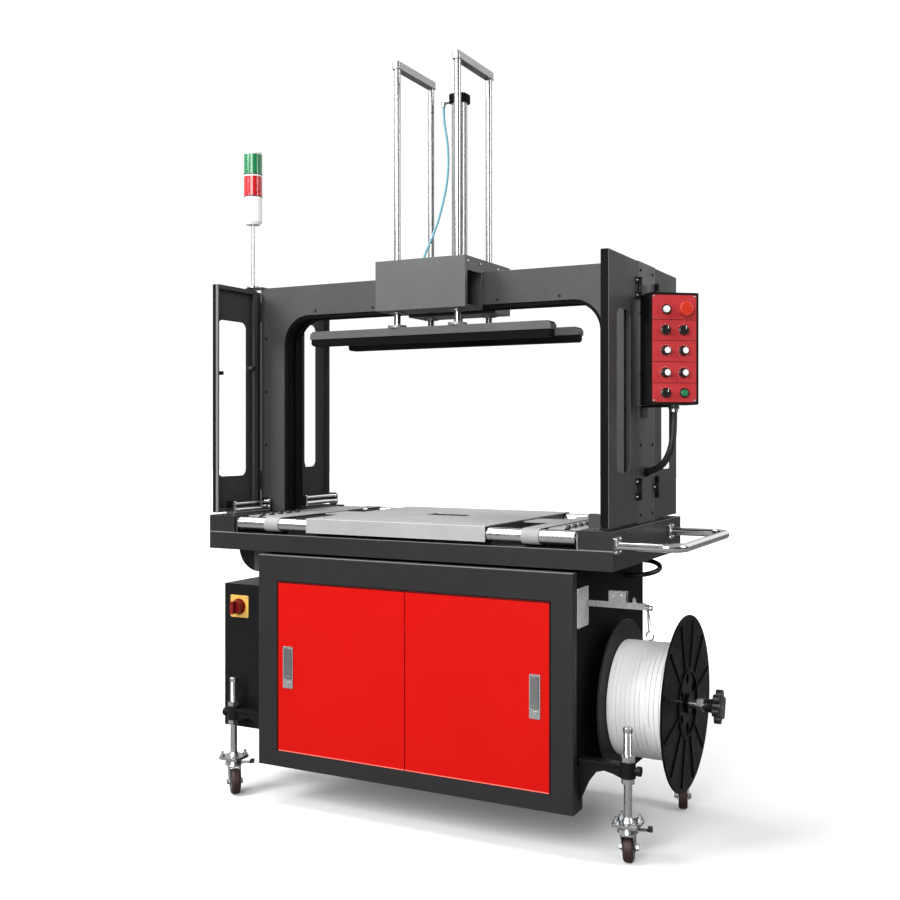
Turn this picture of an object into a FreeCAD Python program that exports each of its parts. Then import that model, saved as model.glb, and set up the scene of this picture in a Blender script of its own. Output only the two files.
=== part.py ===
import FreeCAD, Part
import os, math

os.makedirs("parts", exist_ok=True)
V = FreeCAD.Vector

# ---------------------------------------------------------------- driving dimensions (mm)
# Layout frame: X = 0 at the middle of the table, Y = 0 at the table's front face, Z = 0 on the floor.
# Everything is shifted by (-SHIFT_X, -SHIFT_Y) on the way out, so that the origin is the
# bottom centre of the whole machine's box.
SHIFT_X = 73.25
SHIFT_Y = 301.94

TABLE_HALF = 642.0          # half width of the table
TABLE_DEPTH = 604.0
TABLE_Z0 = 744.0            # underside of the table beams
BEAM_Z1 = 795.0             # top of the front beam
BLOCK_Z1 = 845.0            # top of the side blocks
BLOCK_IN = 548.0            # inner face of the side blocks
SHEET = 3.0                 # sheet thickness of the folded frames

ROLLER_R = 19.0
ROLLER_Z = 823.0
ROLLER_Y0 = 20.0
ROLLER_Y1 = TABLE_DEPTH - 20.0
ROLLER_HALF = 538.0
BELT_T = 2.0
BELT_IN, BELT_OUT = 389.0, 439.0
PLATE_HALF = 287.0          # centre deck plate
DECK_Z = 842.0              # side deck plates' top
PLATE_Z = 846.0             # centre deck plate's top
SLOT_Y0, SLOT_Y1 = 296.0, 304.0   # strap slot across the deck

CAB_X0, CAB_X1 = -458.0, 535.0
CAB_D = 575.0
CAB_Z0, CAB_Z1 = 116.0, 735.0
BODY_Z0 = 217.0             # underside of the cabinet body behind the front frame
DOOR_X0, DOOR_X1 = -392.0, 473.0
DOOR_Z0, DOOR_Z1 = 161.0, 660.0
DOOR_SPLIT = 40.0
DOOR_T = 18.0

ARCH_X = -5.0               # middle of the arch
ARCH_HALF = 624.0
ARCH_OPEN = 524.0           # half of the clear opening
ARCH_Y0, ARCH_Y1 = 240.0, 322.0
ARCH_TOP = 1558.0
ARCH_CLEAR = 1454.0         # underside of the arch beam
TRACK_T = 10.0
CORNER_R = 80.0

GUARD_X = -2.0              # middle of the two guard planes
GUARD_OUT = 630.5           # guard's outer face from that middle
GUARD_T = 21.0
GUARD_Z0, GUARD_Z1 = 852.0, 1556.0
GF_Y0, GF_Y1 = 2.0, 238.0   # front guards, flush with the table's front
GR_Y0, GR_Y1 = 399.0, 606.0
HINGE_YF, HINGE_YR = 240.0, 397.0
COVER_Y1 = 396.0
HINGE_Z = (911.0, 1453.0)   # lower end of each hinge, 60 mm tall
WIN_R = 22.0

PRESS_X = 8.0
ROD_DX = 100.0
ROD_R = 10.0
ROD_YF, ROD_YR = 187.0, 396.0
ROD_TOP = 2166.0
BEAM_HALF = 397.0
PRESS_Z0, PRESS_Z1 = 1358.0, 1402.0
PRESS_STROKE = 500.0

HOUSE_X0, HOUSE_X1 = -131.0, 164.0
HOUSE_Y0, HOUSE_Y1 = 125.0, 430.0
HOUSE_Z0, HOUSE_Z1 = 1448.0, 1593.0

JACK_XL, JACK_XR = -588.0, 664.0
JACK_YF, JACK_YR = 48.0, 552.0
WHEEL_R = 37.5
WHEEL_W = 26.0
TRAIL = 22.0

REEL_Y, REEL_Z = 300.0, 364.0
REEL_R = 236.0
REEL_R_IN = 212.0           # inner flange
COIL_R = 157.0
REEL_X0, REEL_X1 = 565.0, 747.0
SHAFT_R = 12.0

PANEL_YAW = 38.0
PANEL_C = (734.0, 219.0, 1315.0)   # centre of the control box's front face
PANEL_W, PANEL_H, PANEL_D = 136.0, 296.0, 70.0

TOWER = (-667.0, 245.0)
RUN_FIT = 0.05              # radial clearance of running fits


# ---------------------------------------------------------------- helpers
def bx(x0, x1, y0, y1, z0, z1):
    return Part.makeBox(x1 - x0, y1 - y0, z1 - z0, V(x0, y0, z0))


def cy(p, d, r, h):
    return Part.makeCylinder(r, h, V(*p), V(*d))


def cone(p, d, r0, r1, h):
    return Part.makeCone(r0, r1, h, V(*p), V(*d))


def ring(p, d, ro, ri, h):
    return cy(p, d, ro, h).cut(cy(p, d, ri, h))


def fuse(first, *rest):
    s = first
    for r in rest:
        s = s.fuse(r)
    return s.removeSplitter()


def cut(first, *rest):
    s = first
    for r in rest:
        s = s.cut(r)
    return s


def mirror_x(s, about=0.0):
    return s.mirror(V(about, 0, 0), V(1, 0, 0))


def mirror_y(s, about):
    return s.mirror(V(0, about, 0), V(0, 1, 0))


def prism(pts, d):
    """Closed polygon pts (3-D points in one plane) pushed along the vector d."""
    w = Part.makePolygon([V(*p) for p in pts] + [V(*pts[0])])
    return Part.Face(w).extrude(V(*d))


def round_edges(s, r, test):
    es = [e for e in s.Edges if test(e)]
    return s.makeFillet(r, es) if es else s


def chamfer_edges(s, r, test):
    es = [e for e in s.Edges if test(e)]
    return s.makeChamfer(r, es) if es else s


def along(e, axis):
    if not isinstance(e.Curve, (Part.Line, Part.LineSegment)):
        return False
    d = e.tangentAt(e.FirstParameter)
    return abs(getattr(d, axis)) > 0.999


def rounded_box(x0, x1, y0, y1, z0, z1, r, axis):
    return round_edges(bx(x0, x1, y0, y1, z0, z1), r, lambda e: along(e, axis))


def hexagon(p, axis, r, h):
    """Hexagonal prism of corner radius r with its base centre at p, along x, y or z."""
    pts = []
    for i in range(6):
        a = math.radians(60 * i)
        c, s = r * math.cos(a), r * math.sin(a)
        pts.append({"z": (p[0] + c, p[1] + s, p[2]), "x": (p[0], p[1] + c, p[2] + s),
                    "y": (p[0] + c, p[1], p[2] + s)}[axis])
    d = {"z": (0, 0, h), "x": (h, 0, 0), "y": (0, h, 0)}[axis]
    return prism(pts, d)


def routed_tube(name, pts, dia):
    """Round tube along straight runs joined by tangent arcs."""
    P = [V(*p) for p in pts]
    edges, radii, start = [], [], P[0]
    for i in range(1, len(P) - 1):
        a, b = P[i] - P[i - 1], P[i + 1] - P[i]
        la, lb = a.Length, b.Length
        ua, ub = a / la, b / lb
        turn = ua.getAngle(ub)
        t = 0.45 * min(la, lb)
        r = t / math.tan(turn / 2.0)
        radii.append(r)
        p0, p1 = P[i] - ua * t, P[i] + ub * t
        bis = (ub - ua)
        bis.normalize()
        centre = P[i] + bis * (r / math.cos(turn / 2.0))
        to_mid = P[i] - centre
        to_mid.normalize()
        mid = centre + to_mid * r
        edges.append(Part.LineSegment(start, p0).toShape())
        edges.append(Part.Arc(p0, mid, p1).toShape())
        start = p1
    edges.append(Part.LineSegment(start, P[-1]).toShape())
    wire = Part.Wire(edges)
    t0 = P[1] - P[0]
    t0.normalize()
    prof = Part.Wire([Part.Circle(P[0], t0, dia / 2.0).toShape()])
    s = wire.makePipeShell([prof], True, False)
    if s.Volume < 0:
        s.reverse()
    want = math.pi * dia * dia / 4.0 * wire.Length
    print("%s: length %.1f mm, radii %.0f to %.0f mm, volume ratio %.4f, valid %s" % (
        name, wire.Length, min(radii), max(radii), s.Volume / want, s.isValid()))
    return s


def end_fitting(pts, r, length):
    """Straight fitting that takes over where a routed tube ends."""
    a, b = V(*pts[-2]), V(*pts[-1])
    d = b - a
    d.normalize()
    return Part.makeCylinder(r, length, b, d)


NODES = {}


def node(name, *solids):
    flat = []
    for s in solids:
        flat += list(s.Solids)
    NODES[name] = flat


# ---------------------------------------------------------------- cabinet
def cabinet():
    x0, x1, z0, z1 = CAB_X0, CAB_X1, CAB_Z0, CAB_Z1
    face = cut(bx(x0, x1, 0, SHEET, z0, z1), bx(DOOR_X0, DOOR_X1, -1, 9, DOOR_Z0, DOOR_Z1))
    left = bx(x0, x0 + SHEET, 0, 67, z0, z1)
    right = fuse(bx(x1 - SHEET, x1, 0, 67, z0, BODY_Z0 + 20), bx(x1 - SHEET, x1, 0, 25, BODY_Z0, z1))
    bottom = bx(x0, x1, 0, 67, z0, z0 + SHEET)
    top = bx(x0, x1, 0, 25, z1 - SHEET, z1)
    # door stops: a return behind the doors on all four sides of the opening
    stop = cut(bx(DOOR_X0 - 20, DOOR_X1 + 20, DOOR_T + 3, DOOR_T + 5, DOOR_Z0 - 20, DOOR_Z1 + 20),
               bx(DOOR_X0 + 14, DOOR_X1 - 14, 0, 90, DOOR_Z0 + 14, DOOR_Z1 - 14))
    posts = fuse(bx(DOOR_X0 - 22, DOOR_X0 - 20, SHEET, DOOR_T + 5, DOOR_Z0 - 20, DOOR_Z1 + 20),
                 bx(DOOR_X1 + 20, DOOR_X1 + 22, SHEET, DOOR_T + 5, DOOR_Z0 - 20, DOOR_Z1 + 20))
    frame = fuse(face, left, right, bottom, top, stop, posts)
    frame = round_edges(frame, 2.4, lambda e: along(e, "z") and abs(e.Vertexes[0].Y) < 0.01
                        and (abs(e.Vertexes[0].X - x0) < 0.01 or abs(e.Vertexes[0].X - x1) < 0.01))
    node("cabinet_frame", frame)

    body = bx(x0, x1, 25, CAB_D, BODY_Z0, z1)
    inner = bx(x0 + 2, x1 - 2, 20, CAB_D - 2, BODY_Z0 + 2, z1 - 2)
    shell = cut(body, inner, bx(x0 - 1, x0 + 3, 0, 67, z0, z1 + 1))
    shell = cut(shell, bx(x1 - SHEET, x1 + 1, 0, 67, BODY_Z0 - 1, BODY_Z0 + 20))
    # ventilation slots low in the rear panel
    for i in range(7):
        zc = 300 + 22 * i
        for xc in (-250, 40, 330):
            shell = cut(shell, bx(xc - 55, xc + 55, CAB_D - 5, CAB_D + 1, zc, zc + 6))
    # rear skirt with two legs, like the front frame
    skirt = fuse(bx(x0, x1, CAB_D - SHEET, CAB_D, z0, BODY_Z0),
                 bx(x0, x0 + SHEET, CAB_D - 67, CAB_D, z0, BODY_Z0),
                 bx(x1 - SHEET, x1, CAB_D - 67, CAB_D, z0, BODY_Z0),
                 bx(x0, x1, CAB_D - 67, CAB_D, z0, z0 + SHEET))
    node("cabinet_panels", fuse(shell, skirt))

    # electrical box on the left with its switch plate
    ex0, ex1, ey0, ey1, ez0, ez1 = -650.0, x0, 80.0, 310.0, 190.0, 628.0
    box = cut(rounded_box(ex0, ex1, ey0, ey1, ez0, ez1, 3, "z"),
              bx(ex0 + 2, ex1 + 1, ey0 + 2, ey1 - 2, ez0 + 2, ez1 - 2))
    box = cut(box, cy((-590, ey0 - 1, 560), (0, 1, 0), 8.5, 12))
    plate = rounded_box(-624, -556, ey0 - 3, ey0, 526, 594, 4, "y")
    plate = cut(plate, cy((-590, ey0 - 8, 560), (0, 1, 0), 8.0, 10))
    collar = ring((-590, ey0 - 8, 560), (0, 1, 0), 24, 8.0, 5)
    node("electrical_box", box, fuse(plate, collar))
    knob = cy((-590, ey0 - 26, 560), (0, 1, 0), 20, 17.5)
    grip = rounded_box(-590 - 6, -590 + 6, ey0 - 42, ey0 - 26, 560 - 19, 560 + 19, 4, "y")
    stem = cy((-590, ey0 - 9, 560), (0, 1, 0), 8.0 - RUN_FIT, 24)
    node("main_switch_knob", fuse(knob, grip, stem))


def door(name, xa, xb, hinge_left):
    g = 1.6
    za, zb = DOOR_Z0 + g, DOOR_Z1 - g
    pan = cut(bx(xa, xb, 0, DOOR_T, za, zb), bx(xa + 1.5, xb - 1.5, 1.5, DOOR_T + 1, za + 1.5, zb - 1.5))
    lips = cut(bx(xa, xb, DOOR_T - 1.5, DOOR_T, za, zb), bx(xa + 12, xb - 12, 0, 90, za + 12, zb - 12))
    pan = fuse(pan, lips)
    pan = round_edges(pan, 1.2, lambda e: abs(e.Vertexes[0].Y) < 0.01 and abs(e.Vertexes[-1].Y) < 0.01)
    if hinge_left:
        lx0, lx1, lz0, lz1 = -368.0, -333.0, 349.0, 471.0
    else:
        lx0, lx1, lz0, lz1 = 414.0, 445.0, 352.0, 468.0
    xc = 0.5 * (lx0 + lx1)
    base = rounded_box(lx0, lx1, -3, 0, lz0, lz1, 4, "y")
    base = cut(base, bx(lx0 + 4, lx1 - 4, -5, -1.2, lz0 + 26, lz1 - 5))
    lock = ring((xc, -5, lz0 + 13), (0, 1, 0), 8.5, 2.2, 4.5)
    node(name + "_door", pan, fuse(base, lock))
    pz1, pz0 = lz1 - 7.0, lz0 + 28.0
    paddle = bx(lx0 + 5.5, lx1 - 5.5, -4.4, -1.6, pz0, pz1)
    paddle = round_edges(paddle, 1.2, lambda e: along(e, "z") and e.Vertexes[0].Y < -4)
    ridge = bx(lx0 + 7, lx1 - 7, -6.5, -4.4, pz0 + 1, pz0 + 7)
    node(name + "_latch", fuse(paddle, ridge))
    return xc, pz1


# ---------------------------------------------------------------- table
def table():
    D, W = TABLE_DEPTH, TABLE_HALF
    side = cut(bx(BLOCK_IN, W, 0, D, TABLE_Z0, BLOCK_Z1),
               bx(BLOCK_IN + SHEET, W - SHEET, SHEET, D - SHEET, TABLE_Z0 - 1, BLOCK_Z1 - SHEET))
    side = round_edges(side, 2.4, lambda e: along(e, "y") and abs(e.Vertexes[0].Z - BLOCK_Z1) < 0.01
                       and abs(e.Vertexes[0].X - W) < 0.01)
    front = cut(bx(-BLOCK_IN, BLOCK_IN, 0, 45, TABLE_Z0, BEAM_Z1),
                bx(-BLOCK_IN, BLOCK_IN, SHEET, 42, TABLE_Z0 - 1, BEAM_Z1 - SHEET))
    rear = mirror_y(front, D / 2)
    parts = [front, rear, side, mirror_x(side)]
    for x in (PLATE_HALF - 6, BELT_IN - 8, BELT_OUT + 5):
        top = PLATE_Z - 3 if x < PLATE_HALF else DECK_Z - 3
        rail = bx(x, x + 3, 45, D - 45, TABLE_Z0, top)
        parts += [rail, mirror_x(rail)]
    for x0, x1 in ((-400, -340), (380, 440)):
        for y0, y1 in ((70, 130), (450, 510)):
            parts.append(bx(x0, x1, y0, y1, CAB_Z1, TABLE_Z0 + SHEET))
    floor = bx(-BLOCK_IN, BLOCK_IN, 42, D - 42, TABLE_Z0, TABLE_Z0 + SHEET)
    frame = fuse(floor, *parts)
    # half-round cover of the belt drive under the left end
    drum = cy((-532, 96, 742), (0, 1, 0), 74, 150).common(bx(-700, CAB_X0 - 1.0, 0, 400, 600, TABLE_Z0))
    node("table_frame", frame, drum)

    # deck: centre plate in two halves, bent down over the end rollers
    def half(y0, y1, lip_y):
        p = bx(-PLATE_HALF, PLATE_HALF, y0, y1, PLATE_Z - 3, PLATE_Z)
        f = bx(-PLATE_HALF, PLATE_HALF, lip_y, lip_y + 2, 804, PLATE_Z)
        return fuse(p, f)
    c0 = half(-2.5, SLOT_Y0, -2.5)
    c1 = half(SLOT_Y1, D + 2.5, D + 0.5)
    head = bx(-58, 76, SLOT_Y1 - 1, 372, 700, 900)
    c1 = cut(c1, head)
    c0 = round_edges(c0, 1.9, lambda e: along(e, "x") and abs(e.Vertexes[0].Y + 2.5) < 0.01 and abs(e.Vertexes[0].Z - PLATE_Z) < 0.01)
    sides = []
    for sx in (1, -1):
        inner = bx(PLATE_HALF + 3, BELT_IN - 3, 245, 359, DECK_Z - 3, DECK_Z)
        outer = bx(BELT_OUT + 3, BLOCK_IN - 1, 60, D - 60, DECK_Z - 3, DECK_Z)
        wheels_slots = [bx(487, 503, 56 + 45 * i, 84 + 45 * i, DECK_Z - 5, DECK_Z + 1) for i in range(5)]
        outer = cut(outer, bx(BELT_OUT, BLOCK_IN, SLOT_Y0, SLOT_Y1, 800, 900), *wheels_slots)
        inner = cut(inner, bx(PLATE_HALF, BELT_IN, SLOT_Y0, SLOT_Y1, 800, 900))
        for s in (inner, outer):
            sides.append(s if sx > 0 else mirror_x(s))
    # bright end brackets that hold the roller journals
    brk = []
    for yc in (ROLLER_Y0, ROLLER_Y1):
        b = cut(bx(541, 545, yc - 14, yc + 14, BEAM_Z1, 838), cy((530, yc, ROLLER_Z), (1, 0, 0), 6.0 + RUN_FIT, 30))
        brk += [b, mirror_x(b)]
    node("deck_plates", c0, c1, *(sides + brk))

    wheels = []
    for i in range(5):
        y = 70 + 45 * i
        w = cy((491, y, DECK_Z), (1, 0, 0), 9.5, 8)
        wheels += [w, mirror_x(w)]
    pins = [cy((487, 70 + 45 * i, DECK_Z), (1, 0, 0), 2.5, 16) for i in range(5)]
    pins += [mirror_x(p) for p in pins]
    groups = [fuse(w, p) for w, p in zip(wheels, [q for i in range(5) for q in (pins[i], pins[i + 5])])]
    node("skate_wheels", *groups)

    # two belts round both end rollers
    ri, ro = ROLLER_R + 0.3, ROLLER_R + 0.3 + BELT_T
    def stadium(r, x0, x1):
        return fuse(bx(x0, x1, ROLLER_Y0, ROLLER_Y1, ROLLER_Z - r, ROLLER_Z + r),
                    cy((x0, ROLLER_Y0, ROLLER_Z), (1, 0, 0), r, x1 - x0),
                    cy((x0, ROLLER_Y1, ROLLER_Z), (1, 0, 0), r, x1 - x0))
    belt = cut(stadium(ro, BELT_IN, BELT_OUT), stadium(ri, BELT_IN - 1, BELT_OUT + 1))
    node("conveyor_belts", belt, mirror_x(belt))
    # end rollers
    for name, yc in (("front_roller", ROLLER_Y0), ("rear_roller", ROLLER_Y1)):
        r = cy((-ROLLER_HALF, yc, ROLLER_Z), (1, 0, 0), ROLLER_R, 2 * ROLLER_HALF)
        r = chamfer_edges(r, 1.5, lambda e: True)
        j = cy((-546, yc, ROLLER_Z), (1, 0, 0), 6.0, 1092)
        node(name, fuse(r, j))

    # sealing head under the opening in the deck
    base = rounded_box(-54, 72, 308, 368, 752, 822, 4, "z")
    anvil = bx(-50, 68, 312, 322, 822, 840)
    grips = [rounded_box(x, x + 26, 326, 362, 822, 838, 3, "z") for x in (-48, -10, 28)]
    plinth = bx(-40, 58, 314, 362, TABLE_Z0 + SHEET, 752)
    node("sealing_head", fuse(base, anvil, plinth, *grips))


# ---------------------------------------------------------------- arch and guards
def u_profile(half, top, leg_in, clear, r, y0, y1, z0):
    outer = bx(ARCH_X - half, ARCH_X + half, y0, y1, z0, top)
    hole = bx(ARCH_X - leg_in, ARCH_X + leg_in, y0 - 1, y1 + 1, z0 - 1, clear)
    if r:
        hole = round_edges(hole, r, lambda e: along(e, "y") and abs(e.Vertexes[0].Z - clear) < 0.01)
    return cut(outer, hole)


def split_u(s, half, top, zc, xc, y0, y1, z0):
    """Cuts a U frame into two columns, two corners and a beam that meet face to face."""
    out = []
    for sx in (-1, 1):
        a, b = sorted((ARCH_X + sx * (half + 1), ARCH_X))
        out.append(s.common(bx(a, b, y0 - 1, y1 + 1, z0 - 1, zc)))
        a, b = sorted((ARCH_X + sx * (half + 1), ARCH_X + sx * xc))
        out.append(s.common(bx(a, b, y0 - 1, y1 + 1, zc, top + 1)))
    out.append(s.common(bx(ARCH_X - xc, ARCH_X + xc, y0 - 1, y1 + 1, zc, top + 1)))
    return out


def arch():
    t = TRACK_T
    outer = u_profile(ARCH_HALF, ARCH_TOP, ARCH_OPEN + t, ARCH_CLEAR + t, CORNER_R + t, ARCH_Y0, ARCH_Y1, BLOCK_Z1)
    void = u_profile(ARCH_HALF - 3, ARCH_TOP - 3, ARCH_OPEN + t + 3, ARCH_CLEAR + t + 3, CORNER_R + t - 3,
                     ARCH_Y0 + 3, ARCH_Y1 - 3, BLOCK_Z1 - 2)
    frame = cut(outer, void)
    frame = round_edges(frame, 2.0, lambda e: along(e, "y") and abs(e.Vertexes[0].Z - ARCH_TOP) < 0.01)
    zc, xc = ARCH_CLEAR - CORNER_R, ARCH_OPEN - CORNER_R
    node_solids = split_u(frame, ARCH_HALF, ARCH_TOP, zc, xc, ARCH_Y0, ARCH_Y1, BLOCK_Z1)
    # side covers on the outer faces of the columns, carrying the guards' hinges
    for s in (1, -1):
        xo = GUARD_X + s * GUARD_OUT
        xi = ARCH_X + s * ARCH_HALF
        xr = ARCH_X + s * (ARCH_HALF - 14)
        lo, hi = min(xo, xi), max(xo, xi)
        plate = bx(min(xo, xo - 3 * s), max(xo, xo - 3 * s), 241, COVER_Y1, 847, ARCH_TOP)
        top = bx(min(xo, xr), max(xo, xr), ARCH_Y1, COVER_Y1, ARCH_TOP - 3, ARCH_TOP)
        top2 = bx(lo, hi, 241, COVER_Y1, ARCH_TOP - 3, ARCH_TOP)
        f = bx(lo, hi, 241, 244, 847, ARCH_TOP)
        b = bx(min(xo, xr), max(xo, xr), COVER_Y1 - 3, COVER_Y1, 847, ARCH_TOP)
        inner = bx(min(xr, xr + 3 * s), max(xr, xr + 3 * s), ARCH_Y1, COVER_Y1, 847, ARCH_TOP)
        cover = fuse(plate, top, top2, f, b, inner)
        # fixed hinge knuckles
        for y in (HINGE_YF, HINGE_YR):
            xk = xo + s * 5.5
            for zc in HINGE_Z:
                kn = ring((xk, y, zc + 20), (0, 0, 1), 5.5, 2.5 + RUN_FIT, 20)
                leafy = (y + 1.0, y + 24) if y < 300 else (y - 24, y - 1.0)
                leaf = bx(min(xo, xo + 2.5 * s), max(xo, xo + 2.5 * s), leafy[0], leafy[1], zc + 20, zc + 40)
                web = bx(min(xo, xk), max(xo, xk), min(y, leafy[0]) if y < 300 else leafy[1], max(leafy[0] + 3, y) if y < 300 else y, zc + 20, zc + 40)
                node_solids.append(cut(fuse(kn, leaf, web), cover, cy((xk, y, zc), (0, 0, 1), 2.5 + RUN_FIT, 60)))
        node_solids.append(cover)
    # bracket for the signal tower on the left column
    br = bx(TOWER[0] - 20, GUARD_X - GUARD_OUT + 12, TOWER[1] - 14, TOWER[1] + 26, ARCH_TOP, ARCH_TOP + 4)
    node_solids.append(br)
    node("arch_frame", *node_solids)

    track = u_profile(ARCH_OPEN + t, ARCH_CLEAR + t, ARCH_OPEN, ARCH_CLEAR, CORNER_R, ARCH_Y0 + 4, ARCH_Y1 - 4, 847.0)
    track = track.common(u_profile(ARCH_HALF + 50, ARCH_TOP + 50, ARCH_OPEN, ARCH_CLEAR, CORNER_R, ARCH_Y0 + 4, ARCH_Y1 - 4, 847.0))
    # outer corners follow the arch's inside radius
    hole = bx(ARCH_X - ARCH_OPEN - t, ARCH_X + ARCH_OPEN + t, 0, 500, 800, ARCH_CLEAR + t)
    hole = round_edges(hole, CORNER_R + t, lambda e: along(e, "y") and abs(e.Vertexes[0].Z - ARCH_CLEAR - t) < 0.01)
    track = track.common(hole)
    # strap channel in the liner's inner face
    groove = cut(bx(ARCH_X - ARCH_OPEN - 5, ARCH_X + ARCH_OPEN + 5, 271, 291, 840, ARCH_CLEAR + 5),
                 bx(ARCH_X - ARCH_OPEN + 40, ARCH_X + ARCH_OPEN - 40, 260, 300, 800, ARCH_CLEAR - 40))
    groove = groove.common(round_edges(bx(ARCH_X - ARCH_OPEN - 5, ARCH_X + ARCH_OPEN + 5, 271, 291, 800, ARCH_CLEAR + 5),
                           CORNER_R + 5, lambda e: along(e, "y") and abs(e.Vertexes[0].Z - ARCH_CLEAR - 5) < 0.01))
    track = cut(track, groove)
    node("arch_track", *split_u(track, ARCH_OPEN + t, ARCH_CLEAR + t, ARCH_CLEAR - CORNER_R, ARCH_OPEN - CORNER_R,
                                ARCH_Y0 + 4, ARCH_Y1 - 4, 847.0))


def guard(name, side, front, wy0, wy1, wz0, wz1, top=GUARD_Z1):
    """Folded sheet: outer skin, a tray of returns and narrow lips round its window, hinged on the column's cover."""
    xo = GUARD_X + side * GUARD_OUT
    xi = xo - side * GUARD_T
    x0, x1 = min(xo, xi), max(xo, xi)
    y0, y1 = (GF_Y0, GF_Y1) if front else (GR_Y0, GR_Y1)
    g = bx(x0, x1, y0, y1, GUARD_Z0, top)
    win = rounded_box(x0 - 1, x1 + 1, wy0, wy1, wz0, wz1, WIN_R, "x")
    g = cut(g, win)
    # the tray ends before the hinge, where only the skin goes on
    ya, yb = (y0, 195.0) if front else (442.0, y1)
    free = (195.0, y1 + 1) if front else (y0 - 1, 442.0)
    ha, hb = sorted((xo - 2 * side, xi - side))
    g = cut(g, bx(ha, hb, free[0], free[1], GUARD_Z0 - 1, top + 1))
    g = cut(g, bx(x0 + 2, x1 - 2, ya + 2, yb - 2, GUARD_Z0 + 2, top - 2))
    la, lb = (xi - 1, xi + 3) if side > 0 else (xi - 3, xi + 1)
    lf, lr = (6, 17) if front else (17, 6)
    g = cut(g, bx(la, lb, ya + lf, yb - lr, GUARD_Z0 + 12, top - 12))
    g = round_edges(g, 1.6, lambda e: along(e, "z") and abs(e.Vertexes[0].X - xo) < 0.01 and e.Length > 600)
    # the tray as runs round its window, meeting face to face: two slabs, two strips, four corner fillets
    za, zb, rc = wz0, wz1, WIN_R
    sols = []
    for (ca, cb, cz, cw) in [(y0 - 1, y1 + 1, GUARD_Z0 - 1, za), (y0 - 1, y1 + 1, zb, top + 1), (y0 - 1, wy0, za, zb),
                             (wy1, y1 + 1, za, zb), (wy0, wy0 + rc, za, za + rc), (wy1 - rc, wy1, za, za + rc),
                             (wy0, wy0 + rc, zb - rc, zb), (wy1 - rc, wy1, zb - rc, zb)]:
        sols += g.common(bx(x0 - 1, x1 + 1, ca, cb, cz, cw)).Solids
    # moving hinge knuckles and pins
    yk = HINGE_YF if front else HINGE_YR
    xk = xo + side * 5.5
    for zc in HINGE_Z:
        for za in (zc, zc + 40.5):
            kn = cy((xk, yk, za), (0, 0, 1), 5.5, 19.5)
            ya, yb = (yk - 24, yk - 2.0) if front else (yk + 2.0, yk + 24)
            leaf = bx(min(xo, xo + 2.5 * side), max(xo, xo + 2.5 * side), ya, yb, za, za + 19.5)
            wya, wyb = (yk - 5, yk) if front else (yk, yk + 5)
            web = bx(min(xo, xk), max(xo, xk), wya, wyb, za, za + 19.5)
            sols.append(fuse(kn, leaf, web))
        sols.append(cy((xk, yk, zc + 19.5), (0, 0, 1), 2.5, 21))
    if side < 0 and front:
        # catch knobs that stand through the tray beside the window
        sols.append(cy((x0 + 2, 16, 1275), (1, 0, 0), 6, 25))
        sols.append(cy((x0 + 2, 172, 1298), (1, 0, 0), 5.5, 25))
    node(name, *sols)


def guide_rails():
    sols = []
    for side, x in ((-1, -594.5), (1, 577.0)):
        for y0, y1 in ((44.0, 218.0), (420.0, 604.0)):
            up = cy((x, y0, 876), (0, 1, 0), 5.5, y1 - y0)
            lo = cy((x + side * -8, y0, 858), (0, 1, 0), 7.0, y1 - y0)
            e0 = rounded_box(x - 16, x + 16, y0 - 4, y0 + 4, 845, 886, 5, "y")
            e1 = rounded_box(x - 16, x + 16, y1 - 4, y1 + 4, 845, 886, 5, "y")
            sols.append(fuse(up, lo, e0, e1))
    node("guide_rails", *sols)


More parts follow.
